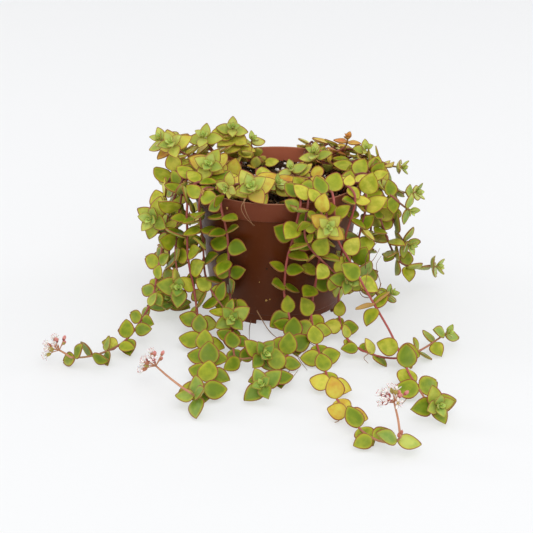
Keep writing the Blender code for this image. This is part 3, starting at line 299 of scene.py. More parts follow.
def farthest_from_chord(line, first, last):
    a, b = line[first], line[last]
    along = (b - a).normalized()
    return max(((p - a) - along * (p - a).dot(along)).length for p in line[first:last + 1])


def polyline_of(vine):
    """The stem's corners: one internode apart where it runs straight, closer where it bends."""
    x, y = vine.root
    start = Vector((x, y, soil_height(x, y) + 1.5))
    end = Vector(vine.route[-1])
    facing = Vector(vine.facing).normalized()
    stops = [start] + [Vector(p) for p in vine.route] + [end + facing * (ROSETTE_STEP * vine.pairs + 1.0)]
    line = smooth_route(stops)
    corners = [Vector((x, y, soil_height(x, y) - ROOT_DEPTH)), line[0]]
    first = 0
    while first < len(line) - 1:
        last = first + 1
        reach = vine.far_gap if line[first].z < TRAIL_Z else vine.gap
        while last + 1 < len(line) and (line[last + 1] - line[first]).length <= reach:
            if farthest_from_chord(line, first, last + 1) > BEND_TOLERANCE:
                break
            last += 1
        corners.append(line[last])
        first = last
    if (corners[-1] - corners[-2]).length < 2.5:
        del corners[-2]
    return corners


def leaf_points(leaf, grow=0.0, raised=0.0):
    """The outline from the base round the tip, and the belly point under the middle."""
    side = leaf.face.cross(leaf.along)

    def at(x, y, z):
        return leaf.base + leaf.along * x + side * y + leaf.face * z

    size = leaf.length
    cup = LEAF_CUP * size + raised
    half_widths = [(x, w * size * leaf.breadth + grow) for x, w in LEAF_HALF_WIDTHS]
    left = [at(x * size, w, cup * min(1.0, x * 4)) for x, w in half_widths]
    right = [at(x * size, -w, cup * min(1.0, x * 4)) for x, w in half_widths]
    outline = [at(-grow, 0, raised)] + left + [at(size + grow, 0, raised)] + right[::-1]
    return outline, at(0.45 * size, 0, raised - LEAF_BELLY * size)


# The faces of a packed leaf's dished upper side.
TOP_FACES = ((0, 5, 1), (1, 5, 3), (1, 3, 2), (3, 5, 4))
OUTLINE_COUNT = 6


def band_faces(low, high, sides):
    """The faces between two rings of points, from the numbers of their first points."""
    return [(low + k, low + (k + 1) % sides, high + (k + 1) % sides, high + k) for k in range(sides)]


def guard_tree(leaf, gap=CLEARANCE):
    """The leaf's shape grown by the clearance on every side, for finding what would cross it."""
    upper, _ = leaf_points(leaf, gap, gap)
    lower, belly = leaf_points(leaf, gap, -gap)
    points = upper + lower + [belly]
    count = OUTLINE_COUNT
    under = [(2 * count, count + i, count + (i + 1) % count) for i in range(count)]
    return BVHTree.FromPolygons(points, list(TOP_FACES) + band_faces(0, count, count) + under)


def outer_half(leaf):
    """The leaf without its root, for finding leaves of one stem that cross beyond their bases."""
    outline, belly = leaf_points(leaf)
    waist = leaf.base + leaf.along * (0.3 * leaf.length)
    points = [waist + (p - waist) * 0.97 for p in outline[1:]] + [waist, belly]
    faces = [(5, i + 1, i) for i in range(4)] + [(6, i, i + 1) for i in range(4)] + [(5, 0, 6), (6, 4, 5)]
    return BVHTree.FromPolygons(points, faces)


def tubes_tree(lines, radius):
    """Six-sided tubes round lines of corners."""
    points, faces = [], []
    for corners in lines:
        for i, corner in enumerate(corners):
            along = (corners[min(i + 1, len(corners) - 1)] - corners[max(i - 1, 0)]).normalized()
            side = along.orthogonal().normalized()
            first = len(points)
            for k in range(6):
                turn = Matrix.Rotation(k * math.pi / 3, 3, along)
                points.append(corner + (turn @ side) * radius)
            if i:
                faces += band_faces(first - 6, first, 6)
    return BVHTree.FromPolygons(points, faces)


def turned_mesh(profile, steps):
    """The points and faces of a section, given in radii and heights, turned about the axis."""
    points, faces = [], []
    count = len(profile)
    for i in range(steps):
        angle = 2 * math.pi * i / steps
        points += [(r * math.cos(angle), r * math.sin(angle), z) for r, z in profile]
        after = (i + 1) % steps
        for k in range(count - 1):
            faces.append((i * count + k, after * count + k, after * count + k + 1, i * count + k + 1))
    return points, faces


def pot_guard():
    """The pot's wall and rim and the soil's top, grown by the clearance."""
    grow = CLEARANCE + 0.2
    band_z = POT_HEIGHT - BAND_HEIGHT
    return BVHTree.FromPolygons(*turned_mesh((
        (0.01, SOIL_TOP + 1.5 * SOIL_LUMP + grow),
        (WALL_TOP_RADIUS - WALL - grow, SOIL_TOP + 1.5 * SOIL_LUMP + grow),
        (RIM_RADIUS - WALL - grow, POT_HEIGHT + grow),
        (RIM_RADIUS + grow, POT_HEIGHT + grow),
        (BAND_FOOT_RADIUS + grow, band_z - grow),
        (WALL_TOP_RADIUS + grow, band_z - grow),
        (BASE_RADIUS + grow, 0.0),
    ), GUARD_SIDES))


def stalk_of(bloom, corners):
    """The bloom's stalk, from just past the stem's end to where the flower stalks part."""
    along = (corners[-1] - corners[-2]).normalized()
    first = [corners[-1] + along * reach for reach in (STALK_GAP, STALK_STRAIGHT)]
    return first + [Vector(p) for p in bloom.route]


def florets_of(bloom):
    """The umbel's florets, spread evenly round the way the head looks."""
    draw = random.Random(bloom.name)
    axis = Vector(bloom.head).normalized()
    side = axis.orthogonal().normalized()
    found = []
    for i in range(bloom.florets):
        opening = math.radians(UMBEL_OPENING) * math.sqrt((i + 0.4) / bloom.florets)
        out = Matrix.Rotation(i * math.radians(FLORET_TURN), 3, axis) @ side
        along = (axis * math.cos(opening) + out * math.sin(opening)).normalized()
        length = PEDICEL_LENGTH * draw.uniform(0.85, 1.15)
        found.append(Floret(Vector(bloom.route[-1]) + along * 0.3, along, length, i % 3 != 2))
    return found


def light_at(point):
    """Where leaves turn their faces: outwards on a hanging stem, more upwards on top and on the surface."""
    outward = Vector((point.x, point.y, 0)).normalized()
    front = Vector((0, -1, 0)) if point.y < 10 else outward
    if point.z < TRAIL_Z:
        return (front * 0.75 + outward * 0.2 + UP * 0.7).normalized()
    if point.z < 92:
        return (outward * 0.7 + front * 0.45 + UP * 0.45).normalized()
    return (outward * 0.2 + front * 0.5 + UP * 0.75).normalized()


def leaf_out(point, along, roll):
    """The way a leaf would point straight out of the stem, turned by roll from the level."""
    level = along.cross(UP)
    if level.length < 0.2:
        level = along.cross(Vector((point.x, point.y, 0)))
    return Matrix.Rotation(roll, 3, along) @ level.normalized()


def turned_aside(point, along, direction, face, angle):
    """The face turned about the leaf's length: towards the sky, or along a stem that crosses the view."""
    aside = along if point.z < TRAIL_Z and abs(along.y) < 0.7 else UP
    across = direction.cross(face)
    lean = across.dot(aside)
    angle *= (0.4 + 0.6 * abs(lean)) * math.copysign(1, lean)
    return (face * math.cos(angle) + across * math.sin(angle)).normalized()


def stem_leaf(point, along, pair, turn, bend, scale):
    """One leaf of a pair on the open stem, turned towards the light and bent back along the stem."""
    out = leaf_out(point, along, pair.roll + turn)
    light = light_at(point)
    shown = out.dot(light)
    reflex = (pair.reflex + bend) * (1 if shown > -0.1 else -0.8)
    direction = (out - light * (0.72 * shown) - along * reflex).normalized()
    face = light * 0.8 + along * 0.25
    face = (face - direction * face.dot(direction)).normalized()
    face = turned_aside(point, along, direction, face, pair.tilt)
    return Leaf(point + direction * ROOT_OFFSET, direction, face, pair.size * scale, 1.0)


def rosette_leaf(point, axis, roll, opening, size):
    """One leaf of a pair in an end rosette, opened from the axis."""
    out = Matrix.Rotation(roll, 3, axis) @ axis.cross(Vector((0.3, 1, 0.1))).normalized()
    direction = (out * math.sin(opening) + axis * math.cos(opening)).normalized()
    face = (axis - direction * axis.dot(direction)).normalized()
    return Leaf(point + direction * ROOT_OFFSET, direction, face, size, ROSETTE_BREADTH)


def off_surface(leaf):
    """The leaf raised about its base, where its tip would reach into the surface."""
    least = (LEAF_REST - leaf.base.z) / leaf.length
    level = Vector((leaf.along.x, leaf.along.y, 0))
    if leaf.along.z >= least or level.length < 0.05:
        return leaf
    raised = level.normalized() * math.sqrt(1 - least * least) + UP * least
    face = (leaf.face - raised * leaf.face.dot(raised)).normalized()
    return leaf._replace(along=raised, face=face)


# The (turn, bend, scale) that a leaf tries in turn until it is clear.
TRIES = ((0, 0, 1.0), (14, 0, 1.0), (-14, 0, 1.0), (28, 0.15, 0.95), (-28, 0.15, 0.95), (0, 0.5, 0.92),
         (45, 0, 0.9), (-45, 0, 0.9), (0, -0.3, 0.88), (60, 0.3, 0.82), (-60, 0.3, 0.82), (20, 0.6, 0.75),
         (-20, 0.6, 0.75), (85, 0, 0.72), (-85, 0, 0.72), (0, 0.2, 0.62), (40, 0.4, 0.6), (-40, 0.4, 0.6))


class Arrangement:
    """Places every leaf so that it keeps clear of the pot, the surface and all other stems."""

    def __init__(self):
        self.corners = {vine.name: polyline_of(vine) for vine in VINES}
        grown = STEM_RADIUS + CLEARANCE
        self.stems = {name: tubes_tree([line], grown) for name, line in self.corners.items()}
        for bloom in BLOOMS:
            stalk = stalk_of(bloom, self.corners[bloom.vine])
            pedicels = [[f.base, f.base + f.along * (f.length + 3.5)] for f in florets_of(bloom)]
            self.stems[bloom.name] = tubes_tree([stalk], STALK_RADIUS + CLEARANCE)
            self.stems[bloom.name + "_florets"] = tubes_tree(pedicels, PETAL_LENGTH * 0.6)
        self.pot = pot_guard()
        self.placed = []
        self.leaves = {vine.name: self.place(vine, True) for vine in VINES}

    def is_clear(self, leaf, name):
        outline, belly = leaf_points(leaf)
        if min(p.z for p in outline + [belly]) < FLOOR_CLEARANCE:
            return False
        guard = guard_tree(leaf)
        if guard.overlap(self.pot):
            return False
        middle = leaf.base + leaf.along * (leaf.length / 2)
        if middle.z < SOIL_TOP + 1 and math.hypot(middle.x, middle.y) < BASE_RADIUS:
            return False
        for other, tree in self.stems.items():
            if other != name and guard.overlap(tree):
                return False
        own = outer_half(leaf)
        for other, centre, reach, tree, outer in self.placed:
            if (centre - middle).length > reach + leaf.length:
                continue
            if own.overlap(outer) if other == name else guard.overlap(tree):
                return False
        return True

    def keep(self, leaf, name):
        middle = leaf.base + leaf.along * (leaf.length / 2)
        self.placed.append((name, middle, leaf.length, guard_tree(leaf, 0.0), outer_half(leaf)))

    def first_clear(self, name, make):
        for turn, bend, scale in TRIES:
            leaf = off_surface(make(math.radians(turn), bend, scale))
            if self.is_clear(leaf, name):
                self.keep(leaf, name)
                return [leaf]
        return []

    def place(self, vine, main):
        """The stem's main leaves, or the small and hidden ones between them."""
        found = []
        for slot in leaf_slots(vine, self.corners[vine.name]):
            if slot.main == main:
                found += self.first_clear(vine.name, slot.make)
        return found


def rosette_slots(vine, corners, draw):
    """The pairs round the stem's end, from the outer one in. Only the two outer pairs are main leaves."""
    slots = []
    axis = (corners[-1] - corners[-2]).normalized()
    for pair in range(vine.pairs):
        share = pair / max(vine.pairs - 1, 1)
        point = corners[-1] - axis * (ROSETTE_STEP * (vine.pairs - 1 - pair) + 0.6)
        opening = math.radians(ROSETTE_OPENING - ROSETTE_CLOSING * share + draw.uniform(-5, 5))
        size = vine.size * (1.0 - ROSETTE_SHRINKING * share)
        roll = math.radians(vine.roll + 90 * pair + draw.uniform(-9, 9))
        for half in (0, math.pi):
            def make(turn, bend, scale, point=point, opening=opening, size=size, roll=roll + half):
                return rosette_leaf(point, axis, roll + 0.35 * turn, opening - bend * 0.5, size * scale)
            slots.append(Slot(pair < 2, make))
    return slots


def pair_roll(vine, point, order):
    """Pairs cross each other down a hanging stem. Near the surface they swing to and fro instead."""
    if point.z > TRAIL_Z:
        return vine.roll + 90 * order
    return TRAIL_ROLL + (TRAIL_SWING if order % 2 else -TRAIL_SWING)


def tilt_share(vine, point):
    """How far leaves turn their faces aside there, as a share of MOST_TILT."""
    if point.z < TRAIL_Z:
        return vine.trail_tilt
    return 1.0 if point.z < POT_HEIGHT - 2 else TOP_TILT


def pair_slots(vine, corners, draw):
    """The pairs down the open stem, each at the middle of an internode, from the end towards the root."""
    slots = []
    walked = 0.0
    last_pair = ROSETTE_STEP * (vine.pairs - 1)
    order = 0
    for a, b in zip(corners[-2:0:-1], corners[:0:-1]):
        length = (b - a).length
        middle = (a + b) / 2
        distance = walked + length / 2
        walked += length
        in_soil = math.hypot(middle.x, middle.y) < WALL_TOP_RADIUS and middle.z < SOIL_TOP + 4
        short = length < SHORTEST_INTERNODE * vine.gap
        if in_soil or short or distance - last_pair < LEAST_GAP * vine.gap:
            continue
        last_pair = distance
        order += 1
        along = (b - a).normalized()
        roll = pair_roll(vine, middle, order) + draw.uniform(-ROLL_SPREAD, ROLL_SPREAD)
        reflex = draw.uniform(*REFLEX_RANGE)
        tilt = MOST_TILT * tilt_share(vine, middle) * draw.random() ** 0.7
        size = vine.size * draw.uniform(*SIZE_RANGE)
        for half in (0, 180):
            own_tilt = math.radians(tilt + draw.uniform(-TILT_SPREAD, TILT_SPREAD))
            pair = Pair(math.radians(roll + half), reflex, own_tilt, size)

            def make(turn, bend, scale, middle=middle, along=along, pair=pair):
                return stem_leaf(middle, along, pair, turn, bend, scale)
            hidden = leaf_out(middle, along, pair.roll).dot(light_at(middle)) < HIDDEN_SIDE
            slots.append(Slot(not hidden, make))
    return slots


def leaf_slots(vine, corners):
    draw = random.Random(vine.name)
    return rosette_slots(vine, corners, draw) + pair_slots(vine, corners, draw)


# The finer shapes, in millimetres and degrees, or in shares of a leaf's length, half width or thickness.
POT_SIDES = 180
DRAIN_SIDES = 32
EDGE_REACH = 0.45
SHARP_EDGE = 35
BAND_WIDENING = 2.4
SOIL_SIDES = 110
SOIL_BANDS = 34
STEM_SIDES = 8
# How much thicker a stem is where a pair of leaves stands, and how far from there it swells.
NODE_SWELLING = 0.22
NODE_REACH = 1.6
# The rows of points along a leaf, and the columns across it between its margins.
LEAF_ROWS = (0.025, 0.08, 0.16, 0.26, 0.37, 0.49, 0.61, 0.73, 0.84, 0.92, 0.97)
LEAF_COLUMNS = (-1, -0.68, -0.34, 0, 0.34, 0.68, 1)
LEAF_RING = 16
LEAF_WIDEST = 0.43
LEAF_THICKNESS = 0.155
THICKEST_AT = 0.38
UPPER_SHARE = 0.26
MARGIN = 0.95
# Leaves longer than the first get no thicker, and leaves shorter than the second have a narrower margin.
DEEPEST_SIZE = 16.0
FULL_MARGIN_SIZE = 13.0
# Where a leaf is widest, and the powers that shape its narrowing to the tip.
OPEN_LEAF = (0.40, 1.75, 0.84)
ROSETTE_LEAF = (0.38, 1.65, 0.86)
# The unopened pairs in a rosette's middle: the size as a share of the stem's, and the opening in degrees.
UNOPENED = ((0.36, 36), (0.22, 20))
# The closed bud between them, in (distance, radius) shares of its size.
KNOB = ((0.0, 0.45), (0.5, 0.7), (1.0, 0.62), (1.35, 0.32), (1.5, 0.05))
KNOB_SIZE = 0.085
# A petal's rows as (reach, width) shares, and the (side, lift) of the four points across each row.
PETAL_ROWS = ((0.0, 0.35), (0.3, 0.8), (0.6, 1.0), (0.85, 0.6), (1.0, 0.05))
PETAL_SECTION = ((-1, 0.06), (0, -0.16), (1, 0.06), (0, -0.512))
PETAL_WIDTH = 1.9
PETAL_LEAN = 52
STAMEN_LENGTH = 3.0
THROAT = 0.9
FLORET_STALK_RADIUS = 0.32

# How warm each stem's leaves are, from 0 for deep green to 1 for orange. The rest are MIDDLE_TINT.
MIDDLE_TINT = 0.66
TINTS = {
    "stem_right_long": 0.40, "stem_right_diagonal": 0.44, "stem_right_low": 0.44, "stem_front_middle": 0.28,
    "stem_front_left": 0.29, "stem_left_centre": 0.34, "stem_left_long": 0.37, "stem_right_hang": 0.44,
    "stem_right_star": 0.46, "stem_right_front": 0.50, "stem_top_right_star": 1.0, "stem_right_out": 0.5,
    "stem_right_out_low": 0.5, "stem_front_right_short": 0.50, "stem_left_side_rosette": 0.52,
    "stem_left_hang_rosette": 0.44, "stem_front_left_short": 0.36, "stem_left_back_hang": 0.34,
    "stem_right_back_hang": 0.34,
}
TINT_SPREAD = 0.17
WARM_CHANCE = 0.12
WARM_STEP = 0.08
# Only stems below this warmth have fresh green leaves near their ends, and this near to them.
FRESH_BELOW = 0.9
FRESH_REACH = 9.0
# The stem with a stretch of orange leaves, where along Y that is, and how much warmer they are.
FLAMED = "stem_right_long"
FLAMED_FROM, FLAMED_TO = -188, -146
FLAME = 0.34

# How pink each stem is, from 0 to 1. The rest have LEAST_PINK.
LEAST_PINK = 0.15
PINK_STEMS = {
    "stem_right_long": 1.0, "stem_right_diagonal": 0.9, "stem_right_low": 0.9, "stem_front_middle": 0.8,
    "stem_left_centre": 0.6, "stem_left_long": 0.5, "stem_front_left": 0.4,
}

# Leaves that stand beside the others on a stem, each from its foot to its tip, and the way their faces look.
LOOK = Vector((-0.4, -0.6, 0.7))
MORE_LEAVES = {
    "stem_top_left_star": (((-32, 32, 112), (-46, 27, 116)), ((-30, 33, 109), (-42, 24, 108)),
                           ((-31, 32, 111), (-21, 25, 108)), ((-27, 33, 105), (-37, 24, 101)),
                           ((-26, 33, 104), (-18, 24, 98))),
}


def mix(a, b, t):
    return a + (b - a) * t


def mesh_object(name, points, faces, smooth=True):
    """A mesh object at the origin from points in millimetres."""
    mesh = bpy.data.meshes.new(name)
    mesh.from_pydata([tuple(c * MM for c in p) for p in points], [], faces)
    mesh.validate()
    mesh.polygons.foreach_set("use_smooth", [smooth] * len(mesh.polygons))
    obj = bpy.data.objects.new(name, mesh)
    bpy.context.scene.collection.objects.link(obj)
    return obj


def set_values(obj, name, values):
    layer = obj.data.attributes.new(name, "FLOAT", "POINT")
    layer.data.foreach_set("value", np.asarray(values, dtype=np.float32))


def outward(obj, weld=0.0):
    """Turns the faces outwards, after joining points that are nearer than weld, in metres."""
    shape = bmesh.new()
    shape.from_mesh(obj.data)
    if weld:
        bmesh.ops.remove_doubles(shape, verts=shape.verts, dist=weld)
    bmesh.ops.recalc_face_normals(shape, faces=shape.faces)
    shape.to_mesh(obj.data)
    shape.free()


def give(obj, material):
    obj.data.materials.clear()
    obj.data.materials.append(material)
    return obj


def joined(name, objects):
    """The objects as one, which keeps each one's material and values."""
    bpy.context.view_layer.update()
    with bpy.context.temp_override(active_object=objects[0], selected_editable_objects=objects,
                                   selected_objects=objects, object=objects[0]):
        bpy.ops.object.join()
    objects[0].name = name
    objects[0].data.name = name
    return objects[0]


def settle(piece, replaced=None):
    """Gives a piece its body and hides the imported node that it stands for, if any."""
    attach(piece, "root")
    if replaced:
        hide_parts(replaced)


def tube_points(line, radii, sides):
    """Rings of points round a line, turned as little as can be from one to the next, and their faces."""
    points, faces = [], []
    along = (line[1] - line[0]).normalized()
    side = along.orthogonal().normalized()
    count = len(line)
    for i, (place, radius) in enumerate(zip(line, radii)):
        ahead = (line[min(i + 1, count - 1)] - line[max(i - 1, 0)]).normalized()
        side = (side - ahead * side.dot(ahead)).normalized()
        other = ahead.cross(side)
        for k in range(sides):
            angle = 2 * math.pi * k / sides
            points.append(place + (side * math.cos(angle) + other * math.sin(angle)) * radius)
        if i:
            faces += band_faces((i - 1) * sides, i * sides, sides)
    last = (count - 1) * sides
    faces.append(tuple(range(sides - 1, -1, -1)))
    faces.append(tuple(range(last, last + sides)))
    return points, faces


class Heap:
    """Gathers many small shapes into one object, with named values at each point for its material."""

    def __init__(self, *names):
        self.points, self.faces = [], []
        self.values = {name: [] for name in names}

    def add(self, points, faces, *values):
        """Adds a shape. Each value is a list with one number a point, or one number for all of them."""
        first = len(self.points)
        self.points += points
        self.faces += [tuple(first + k for k in face) for face in faces]
        for gathered, value in zip(self.values.values(), values):
            gathered += value if isinstance(value, list) else [value] * len(points)

    def add_tube(self, line, radii, sides, *values):
        self.add(*tube_points(line, radii, sides), *values)

    def add_spindle(self, base, along, stations, sides=8, reach=None):
        """A closed turned shape from (distance, radius) stations, with its true reaches or one for all."""
        line = [base + along * distance for distance, _ in stations]
        if reach is None:
            reach = [distance / stations[-1][0] for distance, _ in stations for _ in range(sides)]
        self.add_tube(line, [max(radius, 0.02) for _, radius in stations], sides, reach)

    def made(self, name, material):
        obj = mesh_object(name, self.points, self.faces)
        for value, numbers in self.values.items():
            set_values(obj, value, numbers)
        outward(obj)
        return give(obj, material)


# Materials. The leaf's lists give (warmth, colour) stops.
LEAF_TINTS = ((0.0, (0.06, 0.11, 0.002)), (0.3, (0.15, 0.215, 0.004)), (0.5, (0.34, 0.37, 0.018)),
              (0.7, (0.66, 0.60, 0.08)), (0.85, (0.60, 0.36, 0.04)), (1.0, (0.60, 0.17, 0.04)))
FRESH_TINTS = ((0.3, (0.19, 0.33, 0.06)), (0.65, (0.42, 0.55, 0.15)))
DEEP_GREEN = (0.12, 0.21, 0.004)
# Partly the pale green of unopened leaves, partly painted light that lifts the shade in a rosette's crowded
# middle.
UNOPENED_GREEN_AND_PAINTED_LIGHT = (0.50, 0.66, 0.17)
YELLOW_EDGE = (0.48, 0.42, 0.015)
PALE_FOOT = (0.48, 0.48, 0.06)
PALE_UNDERSIDE = (0.38, 0.42, 0.12)
MAROON = (0.27, 0.045, 0.03)


class Shading:
    """A material's node tree, with short calls for the few nodes that are used here."""

    def __init__(self, name, roughness=0.5, specular=0.5):
        self.material = bpy.data.materials.new(name)
        self.material.use_nodes = True
        self.tree = self.material.node_tree
        self.shader = self.tree.nodes["Principled BSDF"]
        self.shader.inputs["Roughness"].default_value = roughness
        self.shader.inputs["Specular IOR Level"].default_value = specular
        self.place = self.tree.nodes.new("ShaderNodeTexCoord").outputs["Object"]

    def put(self, socket, value):
        if isinstance(value, bpy.types.NodeSocket):
            self.tree.links.new(value, socket)
        elif isinstance(value, tuple):
            socket.default_value = (*value, 1)
        else:
            socket.default_value = value

    def node(self, kind, inputs, output=0, **settings):
        """An output of a new node, with its settings and inputs filled in."""
        node = self.tree.nodes.new("ShaderNode" + kind)
        for name, value in settings.items():
            setattr(node, name, value)
        for name, value in inputs.items():
            self.put(node.inputs[name], value)
        return node.outputs[output]

    def noise(self, scale, detail=3.0, roughness=0.55):
        inputs = {"Scale": scale, "Detail": detail, "Roughness": roughness, "Vector": self.place}
        return self.node("TexNoise", inputs, "Fac")

    def value(self, name):
        return self.node("Attribute", {}, "Fac", attribute_name=name)

    def sums(self, operation, a, b):
        return self.node("Math", {0: a, 1: b}, operation=operation)

    def spread(self, source, low, high, to_low=0.0, to_high=1.0):
        inputs = {"Value": source, "From Min": low, "From Max": high, "To Min": to_low, "To Max": to_high}
        return self.node("MapRange", inputs, "Result", interpolation_type="SMOOTHSTEP")

    def ramp(self, source, stops):
        colours = self.node("ValToRGB", {"Fac": source}, "Color")
        elements = colours.node.color_ramp.elements
        while len(elements) < len(stops):
            elements.new(0.5)
        for element, (place, colour) in zip(elements, stops):
            element.position = place
            element.color = (*colour, 1)
        return colours

    def blend(self, amount, a, b):
        return self.node("Mix", {"Factor": amount, 6: a, 7: b}, 2, data_type="RGBA")

    def colour(self, source):
        self.put(self.shader.inputs["Base Color"], source)

    def rough(self, source):
        self.put(self.shader.inputs["Roughness"], source)

    def bump(self, height, strength, distance):
        inputs = {"Strength": strength, "Distance": distance * MM, "Height": height}
        self.put(self.shader.inputs["Normal"], self.node("Bump", inputs, "Normal"))


def leaf_material():
    """Waxy skin: tinted by the stem's warmth and the leaf's age, paler below, with a thin maroon margin."""
    s = Shading("jade_leaf_skin", 0.42, 0.36)
    s.shader.inputs["Specular Tint"].default_value = (1.0, 1.0, 0.7, 1)
    edge, under, reach, young = [s.value(name) for name in ("edge", "under", "reach", "young")]
    blotch = s.spread(s.noise(160, 3), 0.3, 0.7, -0.08, 0.08)
    tint = s.sums("ADD", s.value("tint"), blotch)
    middle = s.sums("MULTIPLY", s.spread(edge, 1.4, 4.5), s.spread(tint, 0.3, 0.65, 0.32, 0.08))
    skin = s.blend(middle, s.ramp(tint, LEAF_TINTS), DEEP_GREEN)
    skin = s.blend(young, skin, s.ramp(tint, FRESH_TINTS))
    # The unopened leaves turn paler: partly their own colour, partly painted light against the shade in a
    # rosette's middle.
    skin = s.blend(s.spread(young, 0.84, 0.9), skin, UNOPENED_GREEN_AND_PAINTED_LIGHT)
    skin = s.blend(s.spread(edge, 0.8, 3.2, 0.38, 0.0), skin, YELLOW_EDGE)
    skin = s.blend(s.spread(reach, 0.0, 0.3, 0.3, 0.0), skin, PALE_FOOT)
    pale = s.blend(0.5, skin, PALE_UNDERSIDE)
    skin = s.blend(s.sums("MULTIPLY", under, 0.8), skin, pale)
    line = s.spread(edge, 0.5, 0.95, 1.0, 0.0)
    fades = (s.spread(s.noise(70, 2), 0.3, 0.6, 0.75, 1.0), s.spread(under, 0.0, 0.8, 0.95, 0.55),
             s.spread(young, 0.45, 0.85, 1.0, 0.6))
    for fade in fades:
        line = s.sums("MULTIPLY", line, fade)
    s.colour(s.blend(line, skin, MAROON))
    s.rough(s.spread(s.noise(420, 3), 0.3, 0.7, 0.36, 0.52))
    s.bump(s.noise(1500, 2), 0.12, 0.12)
    s.shader.inputs["Subsurface Weight"].default_value = 0.12
    s.shader.inputs["Subsurface Radius"].default_value = (0.4, 0.5, 0.1)
    s.shader.inputs["Subsurface Scale"].default_value = 2 * MM
    return s.material


def stem_material():
    """Pink-red young stem, darker and browner with age."""
    s = Shading("jade_stem_skin", 0.5, 0.35)
    red = s.ramp(s.noise(60, 4), ((0.3, (0.11, 0.025, 0.015)), (0.5, (0.21, 0.05, 0.035)),
                                  (0.7, (0.32, 0.11, 0.07))))
    fresh = s.blend(s.noise(60, 4), (0.30, 0.045, 0.045), (0.48, 0.12, 0.10))
    red = s.blend(s.value("pink"), red, fresh)
    tip = s.blend(0.5, red, (0.45, 0.33, 0.12))
    old = s.blend(0.6, red, (0.13, 0.06, 0.035))
    along = s.value("along")
    red = s.blend(s.spread(along, 0.75, 1.0), red, tip)
    s.colour(s.blend(s.spread(along, 0.0, 0.3, 0.8, 0.0), red, old))
    s.bump(s.noise(900, 3), 0.25, 0.15)
    return s.material


def pot_material():
    """Smooth moulded brown plastic, paler on the rim band, a little scuffed and dusty, with a painted
    highlight along the rim's top edge and painted light that makes the inner wall paler than the outer one.
    """
    s = Shading("pot_moulded_plastic", 0.36, 0.24)
    s.shader.inputs["Specular Tint"].default_value = (1.0, 0.72, 0.52, 1)
    cloud = s.blend(s.noise(22, 4), (0.060, 0.0115, 0.002), (0.115, 0.023, 0.005))
    band = s.blend(s.value("band"), cloud, (0.15, 0.036, 0.017))
    # Painted light: the inner wall is painted far paler than the outer wall, as where the lamps shine into the
    # pot.
    band = s.blend(s.value("inside"), band, (0.37, 0.10, 0.052))
    # Painted highlight: the rim's top edge is painted lighter, as where it catches the light.
    band = s.blend(s.sums("MULTIPLY", s.value("rim"), 0.5), band, (0.42, 0.19, 0.11))
    dust = s.spread(s.noise(260, 5, 0.7), 0.58, 0.78, 0.0, 0.2)
    s.colour(s.blend(dust, band, (0.26, 0.13, 0.08)))
    s.rough(s.spread(s.noise(110, 4), 0.3, 0.7, 0.30, 0.46))
    s.bump(s.noise(500, 3), 0.08, 0.1)
    return s.material


def plain_material(name, dark, light, scale, roughness, bump=0.3, specular=0.35):
    s = Shading(name, roughness, specular)
    s.colour(s.blend(s.noise(scale, 4), dark, light))
    s.bump(s.noise(scale * 6, 3), bump, 0.2)
    return s.material


def petal_material():
    """White petals flushed with pink towards their tips and middles."""
    s = Shading("jade_petal_skin", 0.55, 0.3)
    flush = s.ramp(s.value("reach"), ((0.0, (0.86, 0.60, 0.56)), (0.3, (0.93, 0.86, 0.83)),
                                      (0.85, (0.95, 0.92, 0.90)), (1.0, (0.87, 0.62, 0.60))))
    s.colour(s.blend(s.sums("MULTIPLY", s.noise(300, 2), 0.3), flush, (0.92, 0.80, 0.77)))
    s.shader.inputs["Subsurface Weight"].default_value = 0.15
    s.shader.inputs["Subsurface Scale"].default_value = MM
    return s.material


def calyx_material():
    """The cups of the flowers: deep red on some, through pink-brown to olive on others."""
    s = Shading("jade_calyx_skin", 0.5, 0.3)
    tone = s.ramp(s.value("reach"), ((0.0, (0.22, 0.02, 0.03)), (0.3, (0.45, 0.09, 0.08)),
                                     (0.6, (0.42, 0.20, 0.08)), (1.0, (0.42, 0.38, 0.07))))
    s.colour(s.blend(s.sums("MULTIPLY", s.noise(400, 2), 0.5), tone, (0.40, 0.16, 0.10)))
    return s.material


# Leaves.

def half_width(x, breadth):
    """The leaf's half width at a share of its length: blunt at the stem, pointed at the tip."""
    widest, taper, end = OPEN_LEAF if breadth == 1.0 else ROSETTE_LEAF
    if x < widest:
        return LEAF_WIDEST * breadth * (1 - ((widest - x) / widest) ** 2.2) ** 0.62
    return LEAF_WIDEST * breadth * (1 - ((x - widest) / (1 - widest)) ** taper) ** end


def thickness(x):
    """The leaf's thickness at a share of its length, as a share of its size."""
    return LEAF_THICKNESS * (1 - abs((x - THICKEST_AT) / 0.64) ** 2.6) + 0.012


def blade_faces():
    """The faces of one leaf, whose foot is its first point and whose tip is its last."""
    count = len(LEAF_ROWS)
    loop = list(range(9)) + list(range(15, 8, -1))
    end = (count - 1) * LEAF_RING
    faces = []
    for i in range(LEAF_RING):
        a, b = 1 + loop[i], 1 + loop[(i + 1) % LEAF_RING]
        faces.append((0, b, a))
        for low in range(0, end, LEAF_RING):
            high = low + LEAF_RING
            faces.append((a + low, b + low, b + high, a + high))
        faces.append((a + end, b + end, 1 + count * LEAF_RING))
    return faces


